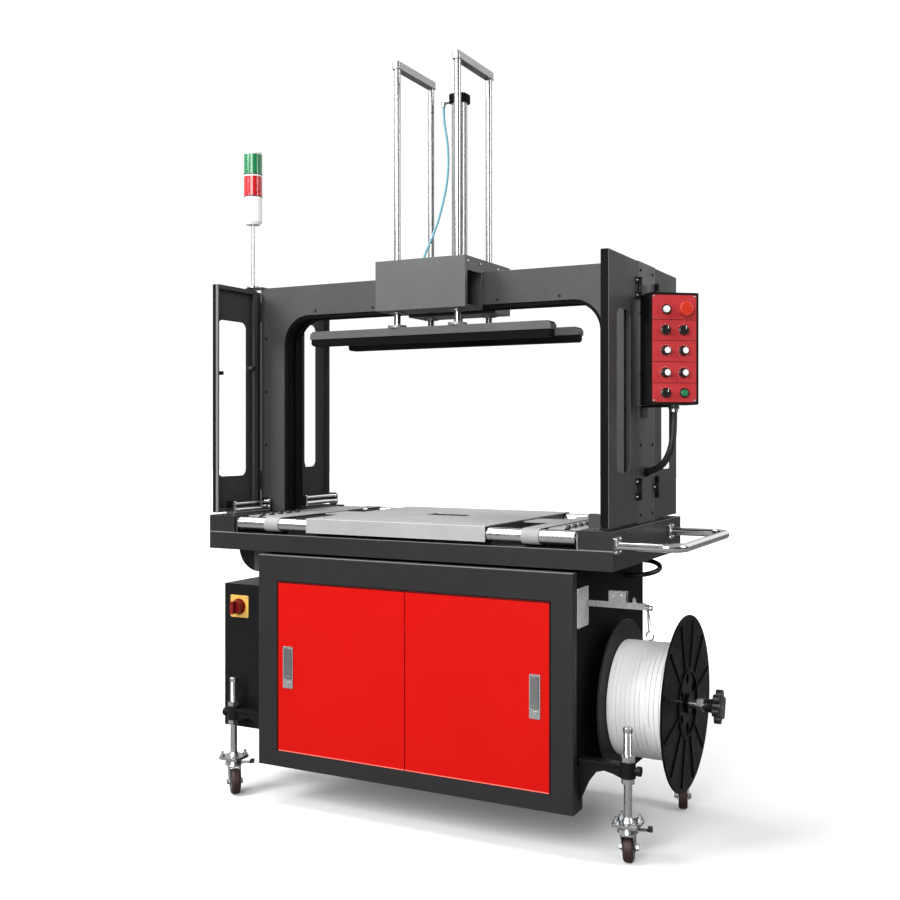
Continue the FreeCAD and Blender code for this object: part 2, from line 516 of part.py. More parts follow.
# ---------------------------------------------------------------- press
def press():
    x0, x1, y0, y1, z0, z1 = HOUSE_X0, HOUSE_X1, HOUSE_Y0, HOUSE_Y1, HOUSE_Z0, HOUSE_Z1
    h = bx(x0, x1, y0, y1, z0, z1)
    h = round_edges(h, 2.5, lambda e: along(e, "z"))
    h = cut(h, bx(x0 - 1, x1 + 1, ARCH_Y0, ARCH_Y1, z0 - 1, ARCH_TOP))
    h = cut(h, bx(x0 + 3, x1 - 3, y0 + 3, ARCH_Y0 - 3, z0 + 6, z1 - 6))
    h = cut(h, bx(x0 + 3, x1 - 3, ARCH_Y1 + 3, y1 - 3, z0 + 6, z1 - 6))
    h = cut(h, bx(x0 + 3, x1 - 3, ARCH_Y0 - 4, ARCH_Y1 + 4, ARCH_TOP + 3, z1 - 6))
    # window in the right cheek of the front half
    h = cut(h, bx(x1 - 4, x1 + 1, y0 + 14, ARCH_Y0 - 8, z0 + 8, 1552))
    rods = [(PRESS_X + sx * ROD_DX, y) for y in (ROD_YF, ROD_YR) for sx in (-1, 1)]
    for (x, y) in rods:
        h = cut(h, cy((x, y, z0 - 5), (0, 0, 1), 16.0, 200))
    h = cut(h, cy((PRESS_X, ROD_YR, z0 - 5), (0, 0, 1), 14.0, 40))
    h = cut(h, cy((PRESS_X, ROD_YR, 1540), (0, 0, 1), 24.5, 80))
    bushes = []
    for (x, y) in rods:
        for (za, zb, up) in ((z0, z0 + 6, -1), (z1 - 6, z1, 1)):
            sleeve = ring((x, y, za - (4 if up < 0 else 20)), (0, 0, 1), 16.0, ROD_R + RUN_FIT, 30)
            zf = za - 4 if up < 0 else z1
            flange = ring((x, y, zf), (0, 0, 1), 24.0, ROD_R + RUN_FIT, 4)
            bushes.append(fuse(sleeve, flange))
    node("press_housing", h, *bushes)

    # air cylinder over the rear beam
    barrel = ring((PRESS_X, ROD_YR, 1478), (0, 0, 1), 24.5, 20.0, 630)
    node("cylinder_barrel", barrel)
    top = rounded_box(PRESS_X - 29, PRESS_X + 29, ROD_YR - 29, ROD_YR + 29, 2108, 2134, 18, "z")
    bot = cut(bx(PRESS_X - 27, PRESS_X + 27, ROD_YR - 27, ROD_YR + 27, z0 + 6, 1478),
              cy((PRESS_X, ROD_YR, z0), (0, 0, 1), ROD_R + RUN_FIT, 60))
    spigot = cy((PRESS_X, ROD_YR, 2102), (0, 0, 1), 20.0, 6)
    elbow = fuse(cy((PRESS_X - 29, ROD_YR, 2119), (-1, 0, 0), 7, 27), Part.makeSphere(7.5, V(-48, ROD_YR, 2119)),
                 cy((-48, ROD_YR, 2119), (0, 0, -1), 6.5, 15))
    hpts = [(-48, 396, 2104), (-47, 396, 2068), (-41, 396, 2030), (-33, 395, 1988), (-29.5, 393, 1940), (-29, 388, 1890),
            (-30, 377, 1842), (-32, 360, 1796), (-34, 342, 1752), (-38, 322, 1710), (-42, 300, 1672), (-47, 280, 1638),
            (-50, 266, 1608)]
    fit = end_fitting(hpts, 6.5, 24).common(bx(-100, 0, 200, 330, z1 + 3, 1700))
    fit = fuse(fit, hexagon((-52, 260, z1), "z", 11, 5))
    node("cylinder_caps", fuse(top, spigot), bot, elbow, fit)

    hose = routed_tube("air_hose", hpts, 8.0)
    node("air_hose", hose)

    # moving press: rods, tie bars, flanges (four rods in two pairs), piston rod, two beams with pads
    sols = []
    for (x, y) in rods:
        sols.append(cy((x, y, PRESS_Z1 + 8), (0, 0, 1), ROD_R, ROD_TOP - PRESS_Z1 - 8))
        sols.append(cy((x, y, PRESS_Z1), (0, 0, 1), 28.0, 8))
    for sx in (-1, 1):
        x = PRESS_X + sx * ROD_DX
        bar = rounded_box(x - 12.5, x + 12.5, ROD_YF - 14, ROD_YR + 14, ROD_TOP, ROD_TOP + 22, 10, "z")
        sols.append(bar)
        for y in (ROD_YF, ROD_YR):
            sols.append(hexagon((x, y, ROD_TOP + 22), "z", 8, 5))
    piston = fuse(cy((PRESS_X, ROD_YR, PRESS_Z1), (0, 0, 1), ROD_R, 662), cy((PRESS_X, ROD_YR, 2064), (0, 0, 1), 20.0 - RUN_FIT, 22))
    node("guide_rods", piston, *sols)
    beams, pads = [], []
    for y in (ROD_YF, ROD_YR):
        b = bx(PRESS_X - BEAM_HALF, PRESS_X + BEAM_HALF, y - 22, y + 22, PRESS_Z0 + 20, PRESS_Z1)
        b = chamfer_edges(b, 9, lambda e: along(e, "y") and abs(e.Vertexes[0].Z - PRESS_Z1) < 0.01)
        b = cut(b, bx(PRESS_X - BEAM_HALF + 3, PRESS_X + BEAM_HALF - 3, y - 19, y + 19, PRESS_Z0, PRESS_Z1 - 3))
        beams.append(b)
        p = bx(PRESS_X - BEAM_HALF + 3, PRESS_X + BEAM_HALF - 3, y - 19, y + 19, PRESS_Z0, PRESS_Z1 - 3)
        p = chamfer_edges(p, 6, lambda e: along(e, "y") and abs(e.Vertexes[0].Z - PRESS_Z0) < 0.01)
        pads.append(p)
    node("press_beams", *beams)
    node("press_pads", *pads)


# ---------------------------------------------------------------- signal tower and control box
def tower():
    x, y = TOWER
    pole = fuse(cy((x, y, ARCH_TOP + 4), (0, 0, 1), 20, 6), cy((x, y, ARCH_TOP + 10), (0, 0, 1), 6, 1767 - ARCH_TOP - 10))
    base = fuse(cone((x, y, 1767), (0, 0, 1), 22, 29, 10), cy((x, y, 1777), (0, 0, 1), 29, 81))
    node("signal_base", pole, base)
    node("signal_red_lens", cy((x, y, 1858), (0, 0, 1), 29.5, 71))
    cap = round_edges(cy((x, y, 1929), (0, 0, 1), 29.5, 75), 6, lambda e: abs(e.CenterOfMass.z - 2004) < 0.01)
    node("signal_green_lens", cap)


def to_panel(s):
    s = s.copy()
    s.rotate(V(0, 0, 0), V(0, 0, 1), PANEL_YAW)
    s.translate(V(*PANEL_C))
    return s


ROWS = (103.0, 48.5, -5.5, -64.0, -117.0)
COLS = (-25.0, 25.0)


def control():
    w, h, d = PANEL_W / 2, PANEL_H / 2, PANEL_D
    box = rounded_box(-w, w, 0, d, -h, h, 4, "y")
    box = cut(box, bx(-w + 2, w - 2, 2, d - 2, -h + 2, h - 2))
    face = rounded_box(-w + 7, w - 7, -1.5, 0, -h + 7, h - 7, 3, "y")
    bezels, holes = [], []
    for r, z in enumerate(ROWS):
        for c, x in enumerate(COLS):
            holes.append(cy((x, -5, z), (0, 1, 0), 5.0, 20))
    box = cut(box, *holes)
    face = cut(face, *holes)
    for (c, r, ro, ri) in ((0, 0, 13, 9.3), (1, 4, 13, 9.3), (1, 0, 14, 9.3)):
        bezels.append(ring((COLS[c], -9.5, ROWS[r]), (0, 1, 0), ro, ri, 8))
    for (c, r) in ((0, 1), (1, 1), (0, 2), (1, 2), (0, 3), (1, 3), (0, 4)):
        bezels.append(ring((COLS[c], -3.5, ROWS[r]), (0, 1, 0), 13.5, 5.0, 2))
    gland = fuse(cy((13, 35, -h - 18), (0, 0, 1), 12, 18), hexagon((13, 35, -h - 10), "z", 16, 8))
    local = [to_panel(s) for s in [fuse(box, gland), face] + bezels]
    # two brackets from the arch column
    arms = []
    for z0 in (1463.0, 1162.0):
        arms.append(prism([(GUARD_X + GUARD_OUT, 268, z0), (GUARD_X + GUARD_OUT, 314, z0), (690, 300, z0),
                           (708, 270, z0), (696, 246, z0), (660, 246, z0)], (0, 0, 5)))
    arms = [arms[0], cut(arms[1], local[0])]
    wall = GUARD_X + GUARD_OUT
    feet = [bx(wall, wall + 3, 268, 314, 1468, 1496), bx(wall, wall + 3, 268, 314, 1134, 1162)]

    # push buttons: (name, column, row, radius, head)
    stem = 5.0 - RUN_FIT
    for name, c, r in (("white_button", 0, 0), ("green_button", 1, 4)):
        b = fuse(round_edges(cy((COLS[c], -14, ROWS[r]), (0, 1, 0), 9.0, 8.5), 1.5, lambda e: abs(e.CenterOfMass.y + 14) < 0.01),
                 cy((COLS[c], -5.5, ROWS[r]), (0, 1, 0), stem, 13))
        node(name, to_panel(b))
    e = fuse(round_edges(cy((COLS[1], -27, ROWS[0]), (0, 1, 0), 19.0, 11), 4, lambda q: abs(q.CenterOfMass.y + 27) < 0.01),
             cone((COLS[1], -16, ROWS[0]), (0, 1, 0), 13, 9.0, 2), cy((COLS[1], -14, ROWS[0]), (0, 1, 0), 9.0, 8.5),
             cy((COLS[1], -5.5, ROWS[0]), (0, 1, 0), stem, 13))
    node("emergency_stop", to_panel(e))
    for i, (c, r) in enumerate(((0, 1), (1, 1), (0, 4))):
        s = fuse(cy((COLS[c], -13, ROWS[r]), (0, 1, 0), 11.0, 9.2),
                 rounded_box(COLS[c] - 4, COLS[c] + 4, -22, -12, ROWS[r] - 11, ROWS[r] + 11, 2.5, "y"),
                 cy((COLS[c], -4, ROWS[r]), (0, 1, 0), stem, 12))
        node("selector_%d" % (i + 1), to_panel(s))
    for i, (c, r) in enumerate(((0, 2), (1, 2), (0, 3), (1, 3))):
        k = fuse(cone((COLS[c], -3.8, ROWS[r]), (0, -1, 0), 12.0, 9.5, 14), cy((COLS[c], -4, ROWS[r]), (0, 1, 0), stem, 12))
        # index flute on the skirt
        k = cut(k, cy((COLS[c], -30, ROWS[r] + 12.0), (0, 1, 0), 1.6, 27))
        node("dial_%d" % (i + 1), to_panel(k))

    cpts = [(722.6, 254.6, 1149), (722.6, 254.6, 1119), (721.0, 255.6, 1088), (715.5, 259.0, 1058), (704.0, 265.8, 1030),
            (686.5, 276.0, 1007.5), (663.0, 289.8, 993.5), (640.0, 303.3, 988)]
    conduit = routed_tube("conduit", cpts, 19.0)
    wall_gland = end_fitting(cpts, 13.0, 30).common(bx(wall, 700, 200, 400, 900, 1100))
    loop = routed_tube("hose_loop", [(535, 424, 684), (562, 424, 684), (588, 432, 687), (608, 452, 692), (617, 480, 699),
                                     (608, 508, 706), (588, 528, 712), (562, 536, 716), (535, 536, 716)], 14.0)
    node("black_hoses", conduit, loop)
    node("control_box", fuse(local[0], arms[0], feet[0], arms[1], feet[1]), wall_gland, *local[1:])


# ---------------------------------------------------------------- handle bar
def handle():
    z, r = 809.0, 11.5
    xa, xb, y0, y1, c = TABLE_HALF, 812.0, 16.0, 492.0, 46.0
    pts = [V(xa, y0, z), V(xb - c, y0, z), V(xb, y0 + c, z), V(xb, y1 - c, z), V(xb - c, y1, z), V(xa, y1, z)]
    k = c * (1 - math.sqrt(0.5))
    e = [Part.LineSegment(pts[0], pts[1]).toShape(), Part.Arc(pts[1], V(xb - k, y0 + k, z), pts[2]).toShape(),
         Part.LineSegment(pts[2], pts[3]).toShape(), Part.Arc(pts[3], V(xb - k, y1 - k, z), pts[4]).toShape(),
         Part.LineSegment(pts[4], pts[5]).toShape()]
    wire = Part.Wire(e)
    prof = Part.Wire([Part.Circle(pts[0], V(1, 0, 0), r).toShape()])
    bar = wire.makePipeShell([prof], True, False)
    fl = [rounded_box(xa, xa + 5, y - 22, y + 22, z - 22, z + 22, 6, "x") for y in (y0 + 6.5, y1)]
    s = bar
    for f in fl:
        s = s.fuse(f)
    node("handle_bar", s.removeSplitter())


# ---------------------------------------------------------------- jacks and casters
def fork_and_wheel(tag, xc, yc, heading, lever):
    """heading: direction in degrees in which the wheel trails; lever: direction of the brake tab."""
    dome = fuse(cone((0, 0, 84), (0, 0, 1), 27, 24, 10), cy((0, 0, 94), (0, 0, 1), 20, 6))
    crown = rounded_box(-26, 26, -18, 18, 79, 84, 6, "z")
    legs = []
    for s in (1, -1):
        y0 = 14.5 if s > 0 else -17.5
        leg = prism([(-24, y0, 84), (26, y0, 84), (TRAIL + 13, y0, WHEEL_R), (TRAIL + 8, y0, WHEEL_R - 10),
                     (TRAIL - 6, y0, WHEEL_R - 11), (TRAIL - 13, y0, WHEEL_R)], (0, 3, 0))
        legs.append(leg)
    axle = cy((TRAIL, -19, WHEEL_R), (0, 1, 0), 5.0, 38)
    nuts = [hexagon((TRAIL, -25, WHEEL_R), "y", 8, 7.5), hexagon((TRAIL, 17.5, WHEEL_R), "y", 8, 6)]
    f = fuse(dome, crown, axle, *(legs + nuts))
    a = math.radians(lever - heading)
    arm = rounded_box(14, 60, -9, 9, 88, 91, 3, "z")
    tab = rounded_box(50, 62, -11, 11, 88, 97, 3, "z")
    lv = fuse(arm, tab)
    lv.rotate(V(0, 0, 0), V(0, 0, 1), math.degrees(a))
    f = f.fuse(lv).removeSplitter()
    w = cut(cy((TRAIL, -WHEEL_W / 2, WHEEL_R), (0, 1, 0), WHEEL_R, WHEEL_W), cy((TRAIL, -20, WHEEL_R), (0, 1, 0), 5.0 + RUN_FIT, 40))
    w = round_edges(w, 7, lambda e: abs(e.Length - 2 * math.pi * WHEEL_R) < 1)
    for s in (f, w):
        s.rotate(V(0, 0, 0), V(0, 0, 1), heading)
        s.translate(V(xc, yc, 0))
    node("caster_fork_" + tag, f)
    node("caster_wheel_" + tag, w)


CASTERS = (("front_left", JACK_XL, JACK_YF, -42.4, 27.6), ("front_right", JACK_XR, JACK_YF, 101.6, 20.0),
           ("rear_left", JACK_XL, JACK_YR, 70.0, 150.0), ("rear_right", JACK_XR, JACK_YR, -74.0, -60.0))


def jacks():
    arms, screws = [], []
    for (tag, xc, yc, hd, lv) in CASTERS:
        s = 1 if xc > 0 else -1
        xw = CAB_X1 if s > 0 else CAB_X0
        web = prism([(xw, yc - 7, 256), (xc, yc - 7, 256), (xc, yc - 7, 220), (xc - 22 * s, yc - 7, 220),
                     (xc - 38 * s, yc - 7, 226), (xc - 62 * s, yc - 7, 231), (xc - 84 * s, yc - 7, 224),
                     (xw + 24 * s, yc - 7, 196), (xw + 8 * s, yc - 7, 160), (xw, yc - 7, 140)], (0, 14, 0))
        top = bx(min(xw, xc), max(xw, xc), yc - 15, yc + 15, 248, 256)
        hub = cy((xc, yc, 220), (0, 0, 1), 20, 42)
        clamp = fuse(cy((xc + 16 * s, yc, 240), (s, 0, 0), 9, 12), cy((xc + 24 * s, yc, 240), (s, 0, 0), 12.5, 11))
        a = fuse(web, top, hub, clamp)
        a = cut(a, cy((xc, yc, 100), (0, 0, 1), 10.5, 300))
        arms.append(a)
        rod = cy((xc, yc, 122), (0, 0, 1), 10.4, 214)
        cap = fuse(cy((xc, yc, 336), (0, 0, 1), 12.5, 10), cone((xc, yc, 346), (0, 0, 1), 12.5, 10, 3))
        foot = cone((xc, yc, 109), (0, 0, 1), 17, 10.5, 13)
        plate = rounded_box(xc - 34, xc + 34, yc - 34, yc + 34, 104, 109, 7, "z")
        cplate = rounded_box(xc - 33, xc + 33, yc - 33, yc + 33, 100.5, 104, 6, "z")
        nut1 = hexagon((xc, yc, 262), "z", 19, 13)
        nut2 = hexagon((xc, yc, 206), "z", 18, 14)
        bolts = []
        for dx in (-24, 24):
            for dy in (-24, 24):
                bolts.append(fuse(hexagon((xc + dx, yc + dy, 109), "z", 8, 7), cy((xc + dx, yc + dy, 109), (0, 0, 1), 4, 16)))
        foot = foot.cut(cy((xc, yc, 122), (0, 0, 1), 20, 40))
        screws.append(fuse(foot, plate, cplate, *bolts))
        screws.append(fuse(rod, cap, nut1, nut2))
        fork_and_wheel(tag, xc, yc, hd, lv)
    node("jack_arms", *arms)
    node("jack_screws", *screws)


# ---------------------------------------------------------------- strap reel and guide
def reel():
    y, z = REEL_Y, REEL_Z
    ax = (1, 0, 0)
    shaft = cy((CAB_X1, y, z), ax, SHAFT_R, 250)
    bearing = fuse(cy((CAB_X1, y, z), ax, 48, 6), cy((CAB_X1 + 6, y, z), ax, 26, 18))
    stud = cy((CAB_X1 + 250, y, z), ax, 8, 57)
    nut = hexagon((CAB_X1 + 240, y, z), "x", 19, 18)
    axle = fuse(shaft, bearing, stud, nut)
    # strap guide: bar on a blank plate at the cabinet's side, with a roller bracket
    gy = 98.0
    plate = rounded_box(CAB_X1, CAB_X1 + 2, 27, 106, 589, 692, 3, "x")
    bar = bx(CAB_X1 + 2, 694, gy - 6, gy + 6, 640, 656)
    cheeks = [bx(598, 645, gy + d, gy + d + 2.5, 650, 684) for d in (-8.5, 6)]
    rollers = [fuse(cy((x, gy - 6, z), (0, 1, 0), r, 12), cy((x, gy - 10.5, z), (0, 1, 0), 3, 21))
               for (x, z, r) in ((609, 668, 7.0), (631, 672, 8.5))]
    stud = fuse(cy((664, gy, 656), (0, 0, 1), 5.5, 9), cy((664, gy, 665), (0, 0, 1), 3.0, 5))
    pin = fuse(cy((694, gy, 645), ax, 4.0, 16), cy((707.5, gy, 645), ax, 7, 4))
    node("reel_axle_and_guide", axle, plate, fuse(bar, stud, pin), fuse(cheeks[0], cheeks[1], *rollers))

    arm_x = 700.5
    eye = ring((arm_x - 3, gy, 645), ax, 9, 4.0 + RUN_FIT, 6)
    wire = cy((arm_x - 1.5, gy + 1, 638), (0.05, 0.03, -1), 1.9, 54)
    wire2 = cy((arm_x + 1.5, gy - 1, 638), (0.18, -0.03, -1), 1.6, 56)
    loop = Part.makeTorus(11, 2.2, V(arm_x + 5.5, gy, 574), V(0.35, 1, 0))
    node("dancer_arm", fuse(eye, wire, wire2, loop))

    fl = []
    for xa in (REEL_X0, REEL_X1 - 6):
        rr = REEL_R_IN if xa == REEL_X0 else REEL_R
        d = ring((xa, y, z), ax, rr, 26, 6)
        d = round_edges(d, 2.4, lambda e: abs(e.Length - 2 * math.pi * rr) < 1)
        if xa > REEL_X0:
            for i in range(6):
                a = math.radians(60 * i + 30)
                d = cut(d, cy((xa - 1, y + 66 * math.cos(a), z + 66 * math.sin(a)), ax, 14, 9))
        fl.append(d)
    hub = ring((REEL_X0 - 2, y, z), ax, 26, SHAFT_R + RUN_FIT, REEL_X1 - REEL_X0 + 10)
    core = ring((REEL_X0 + 6, y, z), ax, 99, 95, REEL_X1 - REEL_X0 - 12)
    spokes = []
    for i in range(6):
        rib = bx(REEL_X0 + 6, REEL_X1 - 6, 20, 97, -2, 2)
        rib.rotate(V(0, 0, 0), V(1, 0, 0), 60 * i)
        rib.translate(V(0, y, z))
        spokes.append(rib.common(ring((REEL_X0, y, z), ax, 95, 26, REEL_X1 - REEL_X0)))
    # raised radial ribs on the outer flange's face
    ribs = []
    for i in range(12):
        rb = bx(REEL_X1, REEL_X1 + 3.5, 95, 222, -3, 3)
        rb.rotate(V(0, 0, 0), V(1, 0, 0), 30 * i + 15)
        rb.translate(V(0, y, z))
        ribs.append(rb)
    rim = ring((REEL_X1, y, z), ax, 91, 85, 4)
    node("strap_reel", fl[0], fl[1], hub, core, rim, *(spokes + ribs))
    node("strap_coil", ring((REEL_X0 + 7, y, z), ax, COIL_R, 99.3, REEL_X1 - REEL_X0 - 14))

    # star knob on the shaft's end
    k = cy((822, y, z), ax, 31, 20)
    for i in range(6):
        a = math.radians(60 * i + 12)
        k = k.fuse(cy((823, y + 32 * math.cos(a), z + 32 * math.sin(a)), ax, 13, 17))
    k = k.removeSplitter()
    k = k.fuse(cone((843, y, z), (-1, 0, 0), 15, 22, 2)).fuse(cone((804, y, z), ax, 17, 21, 18)).fuse(cy((795, y, z), ax, 17, 9))
    k = cut(k, cy((790, y, z), ax, 8 + RUN_FIT, 60))
    node("reel_knob", k.removeSplitter())


# ---------------------------------------------------------------- build
cabinet()
L = door("left", DOOR_X0 + 1.6, DOOR_SPLIT - 1.0, True)
R = door("right", DOOR_SPLIT + 1.0, DOOR_X1 - 1.6, False)
table()
arch()
guard("guard_front_left", -1, True, 25.0, 162.0, 960.0, 1440.0, 1544.0)
guard("guard_front_right", 1, True, 66.0, 174.0, 989.0, 1415.0)
guard("guard_rear_left", -1, False, 454.0, 547.0, 978.0, 1465.0)
guard("guard_rear_right", 1, False, 454.0, 547.0, 989.0, 1415.0)
guide_rails()
press()
tower()
control()
handle()
jacks()
reel()

lo, hi = [1e9] * 3, [-1e9] * 3
bad = []
for name, solids in NODES.items():
    for s in solids:
        if not s.isValid() or s.Volume <= 0:
            bad.append(name)
        b = s.optimalBoundingBox(False, False)
        for k, (a, c) in enumerate(((b.XMin, b.XMax), (b.YMin, b.YMax), (b.ZMin, b.ZMax))):
            lo[k], hi[k] = min(lo[k], a), max(hi[k], c)
    shape = solids[0] if len(solids) == 1 else Part.makeCompound(solids)
    shape = shape.copy()
    shape.translate(V(-SHIFT_X, -SHIFT_Y, 0))
    shape.exportStep("parts/%s.step" % name)
print("nodes", len(NODES), "solids", sum(len(s) for s in NODES.values()))
print("layout box", [round(v, 2) for v in lo], [round(v, 2) for v in hi])
print("wanted shift", round((lo[0] + hi[0]) / 2, 3), round((lo[1] + hi[1]) / 2, 3), "in use", SHIFT_X, SHIFT_Y)
print("invalid", bad)
print("latch pivots", L, R)
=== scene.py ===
import math
import random

import bmesh
import bpy
from mathutils import Matrix, Vector


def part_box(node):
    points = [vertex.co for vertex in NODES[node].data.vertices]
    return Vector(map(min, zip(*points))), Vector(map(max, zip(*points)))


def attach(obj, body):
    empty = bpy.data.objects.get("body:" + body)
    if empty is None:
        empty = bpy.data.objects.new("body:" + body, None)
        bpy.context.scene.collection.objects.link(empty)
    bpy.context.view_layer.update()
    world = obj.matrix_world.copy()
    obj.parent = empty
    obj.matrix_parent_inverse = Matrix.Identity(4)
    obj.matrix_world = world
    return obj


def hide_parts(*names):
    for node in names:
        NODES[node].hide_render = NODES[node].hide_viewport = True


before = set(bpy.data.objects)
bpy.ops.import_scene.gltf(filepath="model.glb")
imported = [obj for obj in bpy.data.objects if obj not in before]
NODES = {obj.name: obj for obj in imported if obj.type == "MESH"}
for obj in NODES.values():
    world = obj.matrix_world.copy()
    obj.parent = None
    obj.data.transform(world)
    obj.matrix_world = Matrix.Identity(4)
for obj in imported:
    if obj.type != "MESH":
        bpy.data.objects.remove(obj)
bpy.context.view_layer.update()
scene = bpy.context.scene

# Layout frame of the drawing in millimetres: x = 0 at the table's middle, y = 0 at its front face.
SX, SY = 73.25, 301.94
ARCH_X, GUARD_X, GUARD_OUT = -5.0, -2.0, 630.5
PANEL_C, PANEL_YAW = (734.0, 219.0, 1315.0), math.radians(38.0)


def X(v):
    return (v - SX) / 1000.0


def Y(v):
    return (v - SY) / 1000.0


def Z(v):
    return v / 1000.0


def P(x, y, z):
    return Vector((X(x), Y(y), Z(z)))


# ------------------------------------------------------------------ camera
cam = bpy.data.cameras.new("camera")
cam.sensor_width = 36.0
cam.lens = 44.303
cam.shift_y = -0.01752
cam.clip_start, cam.clip_end = 0.05, 80.0
camera = bpy.data.objects.new("camera", cam)
camera.location = (1.48891, -2.94510, 1.08913)
camera.rotation_euler = (math.pi / 2, 0.0, math.radians(27.583))
scene.collection.objects.link(camera)
scene.camera = camera


# ------------------------------------------------------------------ node helpers
def add(nt, kind, ins=None, **props):
    n = nt.nodes.new(kind)
    for k, v in props.items():
        setattr(n, k, v)
    for k, v in (ins or {}).items():
        if isinstance(v, bpy.types.NodeSocket):
            nt.links.new(v, n.inputs[k])
        else:
            n.inputs[k].default_value = v
    return n


def calc(nt, op, a, b=None, c=None, clamp=False):
    n = add(nt, "ShaderNodeMath", operation=op, use_clamp=clamp)
    for i, v in enumerate((a, b, c)):
        if v is None:
            continue
        if isinstance(v, bpy.types.NodeSocket):
            nt.links.new(v, n.inputs[i])
        else:
            n.inputs[i].default_value = v
    return n.outputs[0]


def vcalc(nt, op, a, b=None):
    n = add(nt, "ShaderNodeVectorMath", operation=op)
    for i, v in enumerate((a, b)):
        if v is None:
            continue
        if isinstance(v, bpy.types.NodeSocket):
            nt.links.new(v, n.inputs[i])
        else:
            n.inputs[i].default_value = v
    return n.outputs["Value"] if op in ("DOT_PRODUCT", "LENGTH", "DISTANCE") else n.outputs["Vector"]


def mixf(nt, f, a, b):
    n = add(nt, "ShaderNodeMix", data_type="FLOAT")
    for i, v in ((0, f), (2, a), (3, b)):
        if isinstance(v, bpy.types.NodeSocket):
            nt.links.new(v, n.inputs[i])
        else:
            n.inputs[i].default_value = v
    return n.outputs[0]


def mixc(nt, f, a, b, blend="MIX"):
    n = add(nt, "ShaderNodeMix", data_type="RGBA", blend_type=blend)
    for i, v in ((0, f), (6, a), (7, b)):
        if isinstance(v, bpy.types.NodeSocket):
            nt.links.new(v, n.inputs[i])
        else:
            n.inputs[i].default_value = v if i == 0 else tuple(v)[:3] + (1.0,)
    return n.outputs[2]


def noise(nt, co, scale, detail=3.0, rough=0.55, stretch=None, w=0.0):
    if stretch:
        co = add(nt, "ShaderNodeMapping", {"Vector": co, "Scale": stretch}).outputs[0]
    n = add(nt, "ShaderNodeTexNoise", {"Vector": co, "Scale": scale, "Detail": detail, "Roughness": rough,
                                       "Distortion": w})
    return n.outputs["Fac"]


def remap(nt, v, a, b, c, d):
    return add(nt, "ShaderNodeMapRange", {"Value": v, "From Min": a, "From Max": b, "To Min": c, "To Max": d}).outputs[0]


